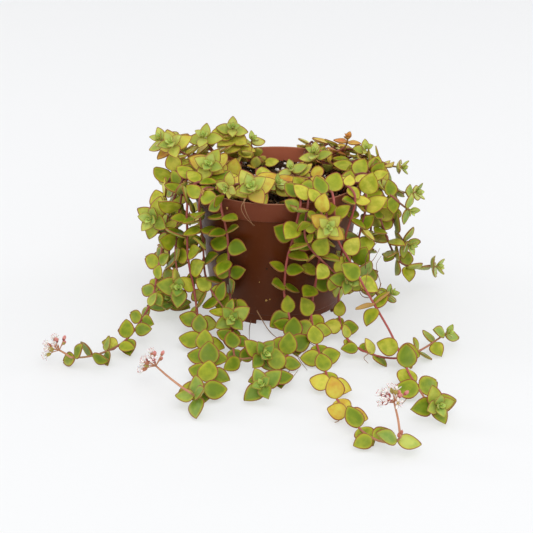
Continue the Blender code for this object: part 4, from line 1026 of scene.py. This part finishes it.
class LeafHeap(Heap):
    """Gathers leaves: how near the edge, how far below and how far along a point is, and each leaf's tint."""

    def __init__(self):
        super().__init__("edge", "under", "reach", "tint", "young")

    def add_leaf(self, leaf, tint, young, draw):
        """One leaf: rings of points from its foot to its tip, bent lengthwise and dished crosswise."""
        side = leaf.face.cross(leaf.along)
        size = leaf.length
        bend = draw.uniform(-0.13, 0.02) if young < 0.3 else draw.uniform(0.0, 0.1)
        dish = draw.uniform(0.03, 0.11)
        deep = min(size, DEEPEST_SIZE)
        margin = MARGIN * min(1.0, size / FULL_MARGIN_SIZE)

        def at(x, y, z):
            return leaf.base + leaf.along * (x * size) + side * y + leaf.face * z

        found = [(leaf.base.copy(), 2.0, 0.5, 0.0)]
        for x in LEAF_ROWS:
            half = half_width(x, leaf.breadth) * size
            inner = max(0.5, 1 - margin / half)
            across = [-1.0] + [inner * share for share in LEAF_COLUMNS] + [1.0]
            rise = bend * x * x * size
            deepness = thickness(x) * deep
            for columns, under, share in ((across, 0.0, UPPER_SHARE), (across[1:-1], 1.0, UPPER_SHARE - 1)):
                for v in columns:
                    bulge = (1 - v * v) ** 0.55
                    z = rise + dish * size * v * v * min(1.0, 3 * x) + share * deepness * bulge
                    edge = (1 - abs(v)) * half * MARGIN / margin
                    found.append((at(x, v * half, z), edge, under, x))
        found.append((at(1.0, 0.0, bend * size), 0.0, 0.0, 1.0))
        points, edges, unders, reaches = [list(column) for column in zip(*found)]
        self.add(points, blade_faces(), edges, unders, reaches, tint, young)

    def add_knob(self, foot, along, size, tint):
        """The closed bud in the middle of a rosette."""
        line = [foot + along * (size * reach) for reach, _ in KNOB]
        self.add_tube(line, [size * wide for _, wide in KNOB], 8, 9.0, 0.0, 0.5, tint, 0.95)


# Stems.

def curve_through(corners, steps=4):
    """A smooth line that leaves each corner on its outside and touches the middle of each stretch."""
    line = [corners[0]]
    middles = [(a + b) / 2 for a, b in zip(corners, corners[1:])]
    line.append(middles[0])
    for start, corner, end in zip(middles, corners[1:], middles[1:]):
        for i in range(1, steps + 1):
            t = i / steps
            line.append(start * (1 - t) ** 2 + corner * (2 * t * (1 - t)) + end * t * t)
    line.append(corners[-1])
    return line


def stem_object(vine, corners, pairs, skin):
    """The stem's tube, a little swollen where each pair of leaves stands."""
    line = curve_through(corners)
    last = len(line) - 1
    radii = []
    for i, place in enumerate(line):
        radius = mix(STEM_RADIUS, TIP_RADIUS, i / last)
        near = min(((place - p).length for p in pairs), default=9.0)
        radii.append(radius * (1 + NODE_SWELLING * max(0.0, 1 - near / NODE_REACH)))
    heap = Heap("along", "pink")
    along = [i / last for i in range(last + 1) for _ in range(STEM_SIDES)]
    heap.add_tube(line, radii, STEM_SIDES, along, PINK_STEMS.get(vine.name, LEAST_PINK))
    return heap.made("stem_of_" + vine.name, skin)


def leaf_between(foot, tip, light):
    """A leaf from one point to another, with its face to the light."""
    along = (tip - foot).normalized()
    face = (light - along * light.dot(along)).normalized()
    return Leaf(foot, along, face, (tip - foot).length, 1.0)


def inner_leaves(vine, corners, draw):
    """The tiny unopened pairs in the middle of a rosette, which only the eye needs."""
    axis = (corners[-1] - corners[-2]).normalized()
    found = []
    for order, (share, opening) in enumerate(UNOPENED):
        point = corners[-1] + axis * (0.2 + 0.7 * order)
        for half in (0, math.pi):
            roll = math.radians(vine.roll + 90 * (vine.pairs + order)) + half
            angle = math.radians(opening + draw.uniform(-4, 4))
            found.append(rosette_leaf(point, axis, roll, angle, vine.size * share))
    return found


def tint_of(leaf, name, draw):
    """How warm a leaf of the stem is."""
    tint = TINTS.get(name, MIDDLE_TINT) + draw.uniform(-TINT_SPREAD, TINT_SPREAD)
    if draw.random() < WARM_CHANCE:
        tint += WARM_STEP
    if name == FLAMED and FLAMED_FROM < leaf.base.y < FLAMED_TO:
        tint += FLAME
    return tint


def leaves_object(vine, corners, leaves, blooming, skin):
    """The stem's leaves as one object. The nearer to a rosette's middle, the fresher they are."""
    draw = random.Random("fine " + vine.name)
    heap = LeafHeap()
    warmth = TINTS.get(vine.name, MIDDLE_TINT)
    rosette = vine.pairs > 1
    fresh = warmth < FRESH_BELOW
    top = corners[-1]
    for leaf in leaves:
        young = max(0.0, 1 - (leaf.base - top).length / FRESH_REACH) if rosette and fresh else 0.0
        heap.add_leaf(leaf, tint_of(leaf, vine.name, draw), 0.85 * young, draw)
    for foot, tip in MORE_LEAVES.get(vine.name, ()):
        heap.add_leaf(leaf_between(Vector(foot), Vector(tip), LOOK), warmth, 0.0, draw)
    # The unopened pairs and the bud take the paler unopened colour, which is partly painted light in the
    # rosette's shaded middle.
    if rosette and not blooming:
        for leaf in inner_leaves(vine, corners, draw):
            heap.add_leaf(leaf, warmth, 0.9 if fresh else 0.0, draw)
        heap.add_knob(top, (top - corners[-2]).normalized(), KNOB_SIZE * vine.size, warmth)
    return heap.made("leaves_of_" + vine.name, skin)


def build_foliage(arrangement, leaf_skin, stem_skin):
    blooming = {bloom.vine for bloom in BLOOMS}
    for vine in VINES:
        corners = arrangement.corners[vine.name]
        leaves = arrangement.leaves[vine.name]
        foliage = leaves_object(vine, corners, leaves, vine.name in blooming, leaf_skin)
        stem = stem_object(vine, corners, [leaf.base for leaf in leaves], stem_skin)
        settle(joined("fine_" + vine.name, [foliage, stem]), vine.name)


# Blooms. Each list gives the (distance, radius) stations of a turned piece.
URN = ((0, 0.35), (0.7, 1.0), (1.8, 1.35), (3.0, 1.15), (3.6, 0.7))
CUP = ((0, 0.3), (0.6, 0.95), (1.4, 1.0), (1.8, 0.6))
BUD = ((0.2, 0.6), (0.8, 1.1), (1.7, 1.2), (2.6, 0.75), (3.2, 0.03))
THREAD = ((0, 0.12), (STAMEN_LENGTH, 0.09))
ANTHER = ((0, 0.05), (0.2, 0.24), (0.5, 0.18), (0.6, 0.02))
BRACT = ((0, 0.3), (0.9, 0.95), (2.2, 0.85), (3.4, 0.1))
BRACTED = "bloom_right"


def petal(base, along, out, length, curl):
    """One petal: a narrow blade of some thickness, from the middle outwards, curled by an angle."""
    side = along.cross(out).normalized()
    points, faces, reach = [], [], []
    for x, wide in PETAL_ROWS:
        angle = math.radians(PETAL_LEAN - curl * x)
        step = out * math.sin(angle) + along * math.cos(angle)
        middle = base + step * (x * length)
        for across, lift in PETAL_SECTION:
            points.append(middle + side * (across * wide * PETAL_WIDTH / 2) + along * lift)
            reach.append(x)
    for row in range(len(PETAL_ROWS) - 1):
        faces += band_faces(4 * row, 4 * row + 4, 4)
    faces += [(3, 2, 1, 0), (16, 17, 18, 19)]
    return points, faces, reach


def open_flower(heaps, end, along, draw):
    """Five petals, each with a stamen before it."""
    side = along.orthogonal().normalized()
    throat = end + along * THROAT
    turn = draw.uniform(0, 1.2)
    for k in range(5):
        out = Matrix.Rotation(turn + 2 * math.pi * k / 5, 3, along) @ side
        length = PETAL_LENGTH * draw.uniform(0.95, 1.2)
        heaps["petals"].add(*petal(throat + out * 0.6, along, out, length, draw.uniform(-20, 25)))
        way = (along * 3.4 + out * draw.uniform(0.8, 2.0)).normalized()
        heaps["petals"].add_spindle(throat, way, THREAD, 5, 0.5)
        heaps["pink"].add_spindle(throat + way * STAMEN_LENGTH, way, ANTHER, 5)


def add_floret(heaps, floret, draw):
    """A flower stalk, its cup, and the open flower or the bud in it."""
    along = floret.along
    start = floret.base - along * 0.2
    end = floret.base + along * floret.length
    middle = (start + end) / 2 + Vector((draw.uniform(-0.3, 0.3), draw.uniform(-0.3, 0.3), 0.35))
    way = smooth_route([start, middle, end], 1.0)
    heaps["stalks"].add_tube(way, [FLORET_STALK_RADIUS] * len(way), 6, 0.5)
    ripe = draw.choice((0.0, 0.2, 0.5, 1.0))
    if floret.open:
        heaps["calyces"].add_spindle(end - along * 2.2, along, URN, 8, ripe)
        open_flower(heaps, end, along, draw)
    else:
        heaps["calyces"].add_spindle(end - along * 0.8, along, CUP, 8, ripe)
        heaps["pink"].add_spindle(end, along, BUD, 10)


def build_bloom(bloom, arrangement, materials):
    """The stalk and flower stalks, green-brown calyces, open five-petalled flowers and pink buds."""
    heaps = {part: Heap("reach") for part in ("petals", "pink", "calyces", "stalks")}
    draw = random.Random("fine " + bloom.name)
    stalk = smooth_route(stalk_of(bloom, arrangement.corners[bloom.vine]), 1.5)
    heaps["stalks"].add_tube(stalk, [mix(0.8, 0.6, i / len(stalk)) for i in range(len(stalk))], 8, 0.5)
    for floret in florets_of(bloom):
        add_floret(heaps, floret, draw)
    for turn in (1, -1) if bloom.name == BRACTED else ():
        foot = Vector(bloom.route[0]) + Vector((0.6 * turn, 0, turn - 1.0))
        heaps["calyces"].add_spindle(foot, Vector((0.15 * turn, -0.05, 1)).normalized(), BRACT, 8, 0.4)
    parts = [heap.made(f"{part}_of_{bloom.name}", material)
             for (part, heap), material in zip(heaps.items(), materials)]
    settle(joined("fine_" + bloom.name, parts), bloom.name)


# The pot and its soil.

def cut_away(obj, cutters):
    """Cuts the cutters out of the object, applies the cut and removes them."""
    for cutter in cutters:
        outward(cutter)
        cut = obj.modifiers.new("Cut", "BOOLEAN")
        cut.operation = "DIFFERENCE"
        cut.object = cutter
        cut.solver = "EXACT"
    bpy.context.view_layer.update()
    graph = bpy.context.evaluated_depsgraph_get()
    mesh = bpy.data.meshes.new_from_object(obj.evaluated_get(graph))
    obj.modifiers.clear()
    obj.data = mesh
    for cutter in cutters:
        bpy.data.objects.remove(cutter)


def ring(centre, radius, z, count):
    angles = [2 * math.pi * i / count for i in range(count)]
    return [Vector((centre.x + radius * math.cos(a), centre.y + radius * math.sin(a), z)) for a in angles]


def prism_object(name, points):
    """A straight solid between two outlines, given one after the other."""
    count = len(points) // 2
    faces = band_faces(0, count, count) + [tuple(range(count)), tuple(range(count, 2 * count))]
    return mesh_object(name, points, faces, False)


def fine_profile():
    """The pot's section with its edges rounded over: each corner becomes three points."""
    rough = [Vector((r, z)) for r, z in profile_of_pot()]
    line = [rough[0]]
    for a, b, c in zip(rough, rough[1:], rough[2:]):
        reach = min(EDGE_REACH, (b - a).length * 0.4, (c - b).length * 0.4)
        start = b + (a - b).normalized() * reach
        end = b + (c - b).normalized() * reach
        line += [start, (start + end + b * 2) / 4, end]
    return [tuple(p) for p in line + [rough[-1]]]


def is_inside(p):
    """Whether a point of the pot, in millimetres, is on its inner wall rather than its outer one."""
    middle = (RIM_RADIUS + WALL_TOP_RADIUS - WALL) / 2 - 1.0
    widening = BAND_WIDENING * (p.z - POT_HEIGHT + BAND_HEIGHT) / BAND_HEIGHT
    return p.z > FLOOR_TOP and math.hypot(p.x, p.y) < middle + widening


def notch_cutters():
    """Round-cornered arches that cut the notches out of the foot ring."""
    half = NOTCH_WIDTH / 2
    side, top = half - NOTCH_CORNER, NOTCH_HEIGHT - NOTCH_CORNER
    arch = [(-half, -1.0), (half, -1.0), (half, top)]
    for k in range(1, 4):
        angle = math.radians(30 * k)
        arch.append((side + NOTCH_CORNER * math.cos(angle), top + NOTCH_CORNER * math.sin(angle)))
    arch += [(-across, z) for across, z in reversed(arch[2:])]
    cutters = []
    for index in range(NOTCH_COUNT):
        turn = Matrix.Rotation(math.radians(FIRST_NOTCH_ANGLE + 360 * index / NOTCH_COUNT), 3, "Z")
        points = []
        for depth in (BASE_RADIUS - 6, FOOT_RADIUS + 4):
            points += [turn @ Vector((depth, across, z)) for across, z in arch]
        cutters.append(prism_object("notch", points))
    return cutters


def drain_cutters():
    cutters = []
    for index in range(DRAIN_COUNT):
        angle = 2 * math.pi * (index + 0.5) / DRAIN_COUNT
        centre = Vector((DRAIN_CIRCLE * math.cos(angle), DRAIN_CIRCLE * math.sin(angle), 0))
        points = ring(centre, DRAIN_RADIUS, FLOOR_UNDERSIDE - 1, DRAIN_SIDES)
        points += ring(centre, DRAIN_RADIUS, FLOOR_TOP + 1, DRAIN_SIDES)
        cutters.append(prism_object("drain", points))
    return cutters


def build_pot(plastic):
    pot = mesh_object("fine_pot", *turned_mesh(fine_profile(), POT_SIDES), False)
    outward(pot, weld=0.005 * MM)
    cut_away(pot, notch_cutters() + drain_cutters())
    pot.data.shade_smooth()
    pot.data.set_sharp_from_angle(angle=math.radians(SHARP_EDGE))
    band_z = (POT_HEIGHT - BAND_HEIGHT - 0.6) * MM
    rim_highlight_z = (POT_HEIGHT - 0.3) * MM
    set_values(pot, "band", [float(v.co.z > band_z) for v in pot.data.vertices])
    # inside marks the inner wall for its painted light.
    set_values(pot, "inside", [float(is_inside(v.co / MM)) for v in pot.data.vertices])
    # rim marks the rim's top edge for its painted highlight.
    set_values(pot, "rim", [float(v.co.z > rim_highlight_z) for v in pot.data.vertices])
    settle(give(pot, plastic), "pot")


def crumb_height(x, y):
    """The soil's fine lumps over its broad ones."""
    fine = (math.sin(1.9 * x + 2.3 * math.sin(0.7 * y)) * math.cos(2.2 * y + 1.7 * math.sin(0.9 * x))
            + 0.6 * math.sin(4.1 * x + 0.8 * y) * math.cos(3.7 * y - 1.1 * x))
    return soil_height(x, y) + 0.35 * fine


def build_soil(earth):
    """The filled pot's soil, with a crumbly top."""
    edge = WALL_TOP_RADIUS - WALL - SOIL_GAP
    points = [(0, 0, crumb_height(0, 0))]
    for band in range(1, SOIL_BANDS + 1):
        level = ring(Vector(), edge * band / SOIL_BANDS, 0, SOIL_SIDES)
        points += [(p.x, p.y, crumb_height(p.x, p.y)) for p in level]
    low = ((edge, POT_HEIGHT - BAND_HEIGHT), (WALL_FOOT_RADIUS - WALL - SOIL_GAP, FOOT_HEIGHT + 1.5),
           (BASE_RADIUS - WALL - 1.0 - SOIL_GAP, FLOOR_TOP + SOIL_GAP))
    for radius, z in low:
        points += ring(Vector(), radius, z, SOIL_SIDES)
    faces = [(0, 1 + i, 1 + (i + 1) % SOIL_SIDES) for i in range(SOIL_SIDES)]
    last = 1 + (SOIL_BANDS + len(low) - 1) * SOIL_SIDES
    for start in range(1, last, SOIL_SIDES):
        faces += band_faces(start, start + SOIL_SIDES, SOIL_SIDES)
    faces.append(tuple(range(last, last + SOIL_SIDES)))
    soil = mesh_object("fine_soil", points, faces)
    outward(soil)
    settle(give(soil, earth), "soil")


def pebble(heap, centre, size, draw, flat=1.0, long=1.0):
    """One rough lump: a pushed-about low sphere of 42 points."""
    shape = bmesh.new()
    bmesh.ops.create_icosphere(shape, subdivisions=2, radius=1.0)
    angle = draw.uniform(0, 6.28)
    axis = Vector((draw.uniform(-1, 1), draw.uniform(-1, 1), 1)).normalized()
    turn = Matrix.Rotation(angle, 3, axis)
    seed = Vector((draw.uniform(0, 9), draw.uniform(0, 9), draw.uniform(0, 9)))
    points = []
    for vert in shape.verts:
        p = vert.co
        wobble = (1 + 0.22 * math.sin(3.1 * p.x + seed.x) * math.cos(2.7 * p.y + seed.y)
                  + 0.12 * math.sin(5 * p.z + seed.z))
        spot = Vector((p.x * long, p.y, p.z * flat)) * (size * wobble)
        points.append(centre + turn @ spot)
    heap.add(points, [[v.index for v in face.verts] for face in shape.faces])
    shape.free()


def scatter(name, material, seed, count, sizes, flat, long, sunk=0.35):
    """Lumps strewn over the soil's top, evenly by area, each bedded a little in it."""
    draw = random.Random(seed)
    heap = Heap()
    reach = WALL_TOP_RADIUS - WALL - 2.0
    for _ in range(count):
        radius = reach * math.sqrt(draw.random())
        angle = draw.uniform(0, 2 * math.pi)
        x, y = radius * math.cos(angle), radius * math.sin(angle)
        size = draw.uniform(*sizes)
        place = Vector((x, y, crumb_height(x, y) + size * flat * sunk))
        pebble(heap, place, size, draw, flat, long)
    settle(heap.made(name, material))


# Fine roots, in millimetres.
ROOTS = (
    ((53, -27, 56), (54, -30, 60), (55, -28, 62)),
    ((62, -34, 40), (67, -24, 41), (71, -20, 47)),
    ((56, -61, 33), (61, -60, 30), (66, -58, 31), (69, -56, 33), (70, -55, 36)),
    ((60, -110, 11), (56, -108, 6), (59, -106, 1)),
    ((34, -190, 3), (36, -187, 2), (37, -183, 1)),
    ((76, -170, 5), (80, -157, 2), (83, -146, 1)),
    ((5, -85, 4), (11, -93, 3), (18, -108, 1)),
    ((7, -138, 5), (10, -128, 3), (13, -116, 1)),
    ((9, -67, 6), (16, -72, 3), (26, -82, 1), (30, -95, 1)),
    ((-18, -99, 6), (-17, -86, 4), (-15, -75, 1)),
)
CURLS = (
    ((59, -60, 32), (66, -60, 32), (69, -60, 37), (67, -60, 45), (66, -60, 52), (69, -60, 58)),
    ((59, -56, 47), (59, -58, 56), (62, -59, 62), (67, -58, 68), (69, -57, 70)),
    ((61, -66, 30), (57, -66, 31), (55, -64, 34), (57, -63, 37), (59, -63, 35), (58, -65, 33)),
    ((-44, -36, 51), (-39, -42, 56), (-33, -48, 61), (-30, -51, 65)),
    ((-46, -35, 56), (-42, -41, 55), (-37, -46, 55), (-33, -48, 58)),
    ((9, -89, 6), (6, -94, 4), (3, -101, 3), (6, -109, 2), (8, -116, 1)),
    ((9, -92, 6), (12, -98, 4), (15, -106, 2), (19, -116, 1)),
    ((5, -105, 3), (9, -112, 2), (6, -121, 1), (3, -130, 1)),
    ((-18, -50, 6), (-19, -56, 3), (-19, -71, 1)),
)
TENDRILS = (
    ((-22, -61, 99), (-22, -62, 94), (-20, -60, 87), (-16, -57, 78)),
    ((-21, -61, 99), (-24, -62, 93), (-21, -60, 85), (-16, -57, 79), (-15, -56, 78)),
)
# Dried leaves: each one's foot, tip and breadth.
DRIED = (
    ((64, -80, 32), (51, -84, 31), 4.2),
    ((64, -79, 32), (74, -78, 40), 3.6),
    ((58, -70, 39), (60, -72, 56), 3.0),
)
REMAINS = ((-50, -42, 93), (-60, -20, 68))
SPENT_STALK = ((0, 0.7), (3, 0.5), (6, 0.6))
SPENT_FLOWER = ((0, 0.3), (1.0, 0.75), (2.2, 0.6), (3.0, 0.1))
# Specks on the pot's wall: the angle in degrees from the front, the height and the size.
DARK_SPECKS = ((-8, 45, 0.6), (-4, 46, 0.5), (3, 12, 0.4), (20, 26, 0.5), (200, 60, 0.6))
PALE_SPECKS = ((-9, 20, 0.8), (-6, 21, 0.5), (-34, 88, 0.9), (12, 60, 0.4), (-14, 34, 0.4), (-25, 62, 0.4),
               (150, 40, 0.7), (235, 24, 0.6), (100, 70, 0.5))
DOWN_ROOT = ((-14, -49, 13), (-10, -53, 7), (-6, -57, 2), (-1, -66, 1), (5, -72, 1))
SOIL_ROOTS = (
    ((19, -23, 86), (17, -29, 87), (15, -35, 86)),
    ((-6, 12, 86), (3, 15, 87), (12, 12, 86)),
    ((8, -4, 86), (2, -12, 87), (5, -19, 86)),
    ((-14, 2, 86), (-9, -4, 87), (-12, -11, 86)),
)


def thread(name, route, radius, material):
    line = smooth_route([Vector(p) for p in route], 1.2)
    last = len(line) - 1
    heap = Heap()
    heap.add_tube(line, [mix(radius, 0.45 * radius, i / last) for i in range(last + 1)], 6)
    settle(heap.made(name, material))


def build_threads(tan, brown):
    kinds = (("aerial_root", ROOTS, 0.32, tan, "foliage"),
             ("soil_root", SOIL_ROOTS, 0.4, tan, "soil"),
             ("curled_root", CURLS, 0.32, brown, "foliage"),
             ("tendril_on_pot", TENDRILS, 0.28, tan, "foliage"))
    for kind, routes, radius, material, slot in kinds:
        for number, route in enumerate(routes, 1):
            thread(f"{kind}_{number}", route, radius, material)
    thread("root_down_front", DOWN_ROOT, 0.4, tan)


def build_dried_leaves(straw):
    heap = LeafHeap()
    draw = random.Random(21)
    for foot, tip, breadth in DRIED:
        leaf = leaf_between(Vector(foot), Vector(tip), UP)
        face = turned_aside(leaf.base, leaf.along, leaf.face, UP, math.radians(20))
        heap.add_leaf(leaf._replace(face=face, breadth=breadth / leaf.length), 1.0, 0.0, draw)
    settle(heap.made("dried_leaves", straw))


def build_spent_flowers(straw):
    """Two dried flower heads, each a stalk with seven husks up round it."""
    heap = Heap()
    for place in REMAINS:
        heap.add_spindle(Vector(place) - UP * 4, UP, SPENT_STALK, 6)
        for k in range(7):
            way = Vector((math.cos(k * 2.4), math.sin(k * 2.4), 1.1 + 0.2 * k)).normalized()
            heap.add_spindle(Vector(place) + UP * (0.5 * k), way, SPENT_FLOWER, 6)
    settle(heap.made("flower_remains", straw))


def wall_radius(z):
    """The pot's outer radius at a height."""
    top = POT_HEIGHT - BAND_HEIGHT
    if z > top:
        return RIM_RADIUS
    return mix(WALL_FOOT_RADIUS, WALL_TOP_RADIUS, (z - FOOT_HEIGHT) / (top - FOOT_HEIGHT))


def build_specks(dark, pale):
    """Dried drops and crumbs on the pot's outer wall."""
    draw = random.Random(22)
    for name, material, specks in (("dark_specks", dark, DARK_SPECKS), ("pale_specks", pale, PALE_SPECKS)):
        heap = Heap()
        for angle, z, size in specks:
            turn = math.radians(angle - 90)
            radius = wall_radius(z)
            pebble(heap, Vector((radius * math.cos(turn), radius * math.sin(turn), z)), size, draw)
        settle(heap.made(name, material))


# The stage, in millimetres, and the lights and the camera, in metres.
STAGE_FRONT, STAGE_BEND, STAGE_SWEEP, STAGE_TOP, STAGE_SIDE = -2200, 900, 800, 3000, 3000
BEND_STEPS = 12
# Each light's name, place, target, size and power.
LIGHTS = (("key", (0.15, -1.0, 1.15), (0, -0.05, 0.04), (1.1, 1.1), 8),
          ("left", (-1.2, 0.25, 0.5), (0, 0, 0.05), (0.5, 0.9), 4),
          ("right", (1.2, 0.25, 0.5), (0, 0, 0.05), (0.5, 0.9), 4))
ROOM_LIGHT = 0.86
LENS, SENSOR_WIDTH = 107.25, 36
CAMERA_PLACE = (-0.0074, -1.0367, 0.4622)
CAMERA_TILT = 67.13


def build_stage():
    """A white surface that curves up into a white backdrop."""
    profile = [(STAGE_FRONT, 0)]
    for k in range(BEND_STEPS + 1):
        angle = math.radians(90 * k / BEND_STEPS)
        back, up = math.sin(angle), 1 - math.cos(angle)
        profile.append((STAGE_BEND + STAGE_SWEEP * back, STAGE_SWEEP * up))
    profile.append((STAGE_BEND + STAGE_SWEEP, STAGE_TOP))
    points = [(x, y, z) for y, z in profile for x in (-STAGE_SIDE, STAGE_SIDE)]
    faces = [(2 * i, 2 * i + 1, 2 * i + 3, 2 * i + 2) for i in range(len(profile) - 1)]
    s = Shading("white_surface", 0.6, 0.2)
    s.colour((0.40, 0.403, 0.408))
    s.shader.inputs["Emission Color"].default_value = (0.985, 0.99, 1.0, 1)
    s.shader.inputs["Emission Strength"].default_value = 0.455
    give(mesh_object("white_surface", points, faces), s.material)


def build_lights():
    world = bpy.data.worlds.new("white_room")
    world.use_nodes = True
    world.node_tree.nodes["Background"].inputs["Color"].default_value = (1, 1, 1, 1)
    world.node_tree.nodes["Background"].inputs["Strength"].default_value = ROOM_LIGHT
    bpy.context.scene.world = world
    for name, place, target, size, power in LIGHTS:
        data = bpy.data.lights.new(name, "AREA")
        data.shape = "RECTANGLE"
        data.size, data.size_y = size
        data.energy = power
        light = bpy.data.objects.new(name, data)
        light.location = place
        light.rotation_euler = (Vector(target) - Vector(place)).to_track_quat("-Z", "Y").to_euler()
        bpy.context.scene.collection.objects.link(light)
    bpy.context.scene.view_settings.view_transform = "Standard"


def build_camera():
    data = bpy.data.cameras.new("photo_view")
    data.lens = LENS
    data.sensor_width = SENSOR_WIDTH
    camera = bpy.data.objects.new("photo_view", data)
    camera.location = CAMERA_PLACE
    camera.rotation_euler = (math.radians(CAMERA_TILT), 0, 0)
    bpy.context.scene.collection.objects.link(camera)
    bpy.context.scene.camera = camera


def build_plant():
    """The leafy stems and the blooms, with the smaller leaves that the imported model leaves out."""
    arrangement = Arrangement()
    for vine in VINES:
        arrangement.leaves[vine.name] += arrangement.place(vine, False)
    build_foliage(arrangement, leaf_material(), stem_material())
    pinks = plain_material("jade_bud_skin", (0.48, 0.10, 0.09), (0.76, 0.36, 0.32),
                           scale=350, roughness=0.5, bump=0.1)
    stalk = plain_material("jade_flower_stalk_skin", (0.42, 0.17, 0.09), (0.58, 0.30, 0.17),
                           scale=200, roughness=0.5, bump=0.1)
    materials = (petal_material(), pinks, calyx_material(), stalk)
    for bloom in BLOOMS:
        build_bloom(bloom, arrangement, materials)


def build_filled_pot(crumb):
    """The pot, its soil and what is strewn on it."""
    build_pot(pot_material())
    build_soil(plain_material("potting_mix", (0.012, 0.006, 0.003), (0.05, 0.026, 0.013),
                              scale=420, roughness=0.95, bump=0.9, specular=0.1))
    scatter("soil_crumbs_small", crumb, 3, count=900, sizes=(0.5, 1.1), flat=0.8, long=1.2)
    scatter("soil_crumbs_large", crumb, 4, count=160, sizes=(1.0, 1.9), flat=0.7, long=1.3)
    bark = plain_material("bark", (0.14, 0.055, 0.022), (0.42, 0.24, 0.11), scale=260, roughness=0.9)
    scatter("bark_bits", bark, 5, count=150, sizes=(0.8, 2.1), flat=0.35, long=1.9, sunk=0.6)
    white = plain_material("perlite", (0.62, 0.58, 0.50), (0.90, 0.88, 0.84), scale=500, roughness=0.9)
    scatter("perlite", white, 6, count=140, sizes=(0.6, 1.7), flat=0.85, long=1.1, sunk=0.5)


def main():
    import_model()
    build_camera()
    build_stage()
    build_lights()
    build_plant()
    crumb = plain_material("soil_crumbs", (0.012, 0.006, 0.003), (0.07, 0.036, 0.018),
                           scale=300, roughness=0.95, bump=0.6, specular=0.1)
    build_filled_pot(crumb)
    tan = plain_material("dry_root", (0.20, 0.09, 0.04), (0.42, 0.24, 0.12), scale=200, roughness=0.8)
    brown = plain_material("brown_root", (0.10, 0.04, 0.02), (0.26, 0.12, 0.06), scale=200, roughness=0.8)
    straw = plain_material("dried_leaf", (0.33, 0.16, 0.035), (0.60, 0.38, 0.12), scale=220, roughness=0.8)
    build_threads(tan, brown)
    build_dried_leaves(straw)
    build_spent_flowers(straw)
    build_specks(crumb, straw)
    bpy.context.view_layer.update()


main()
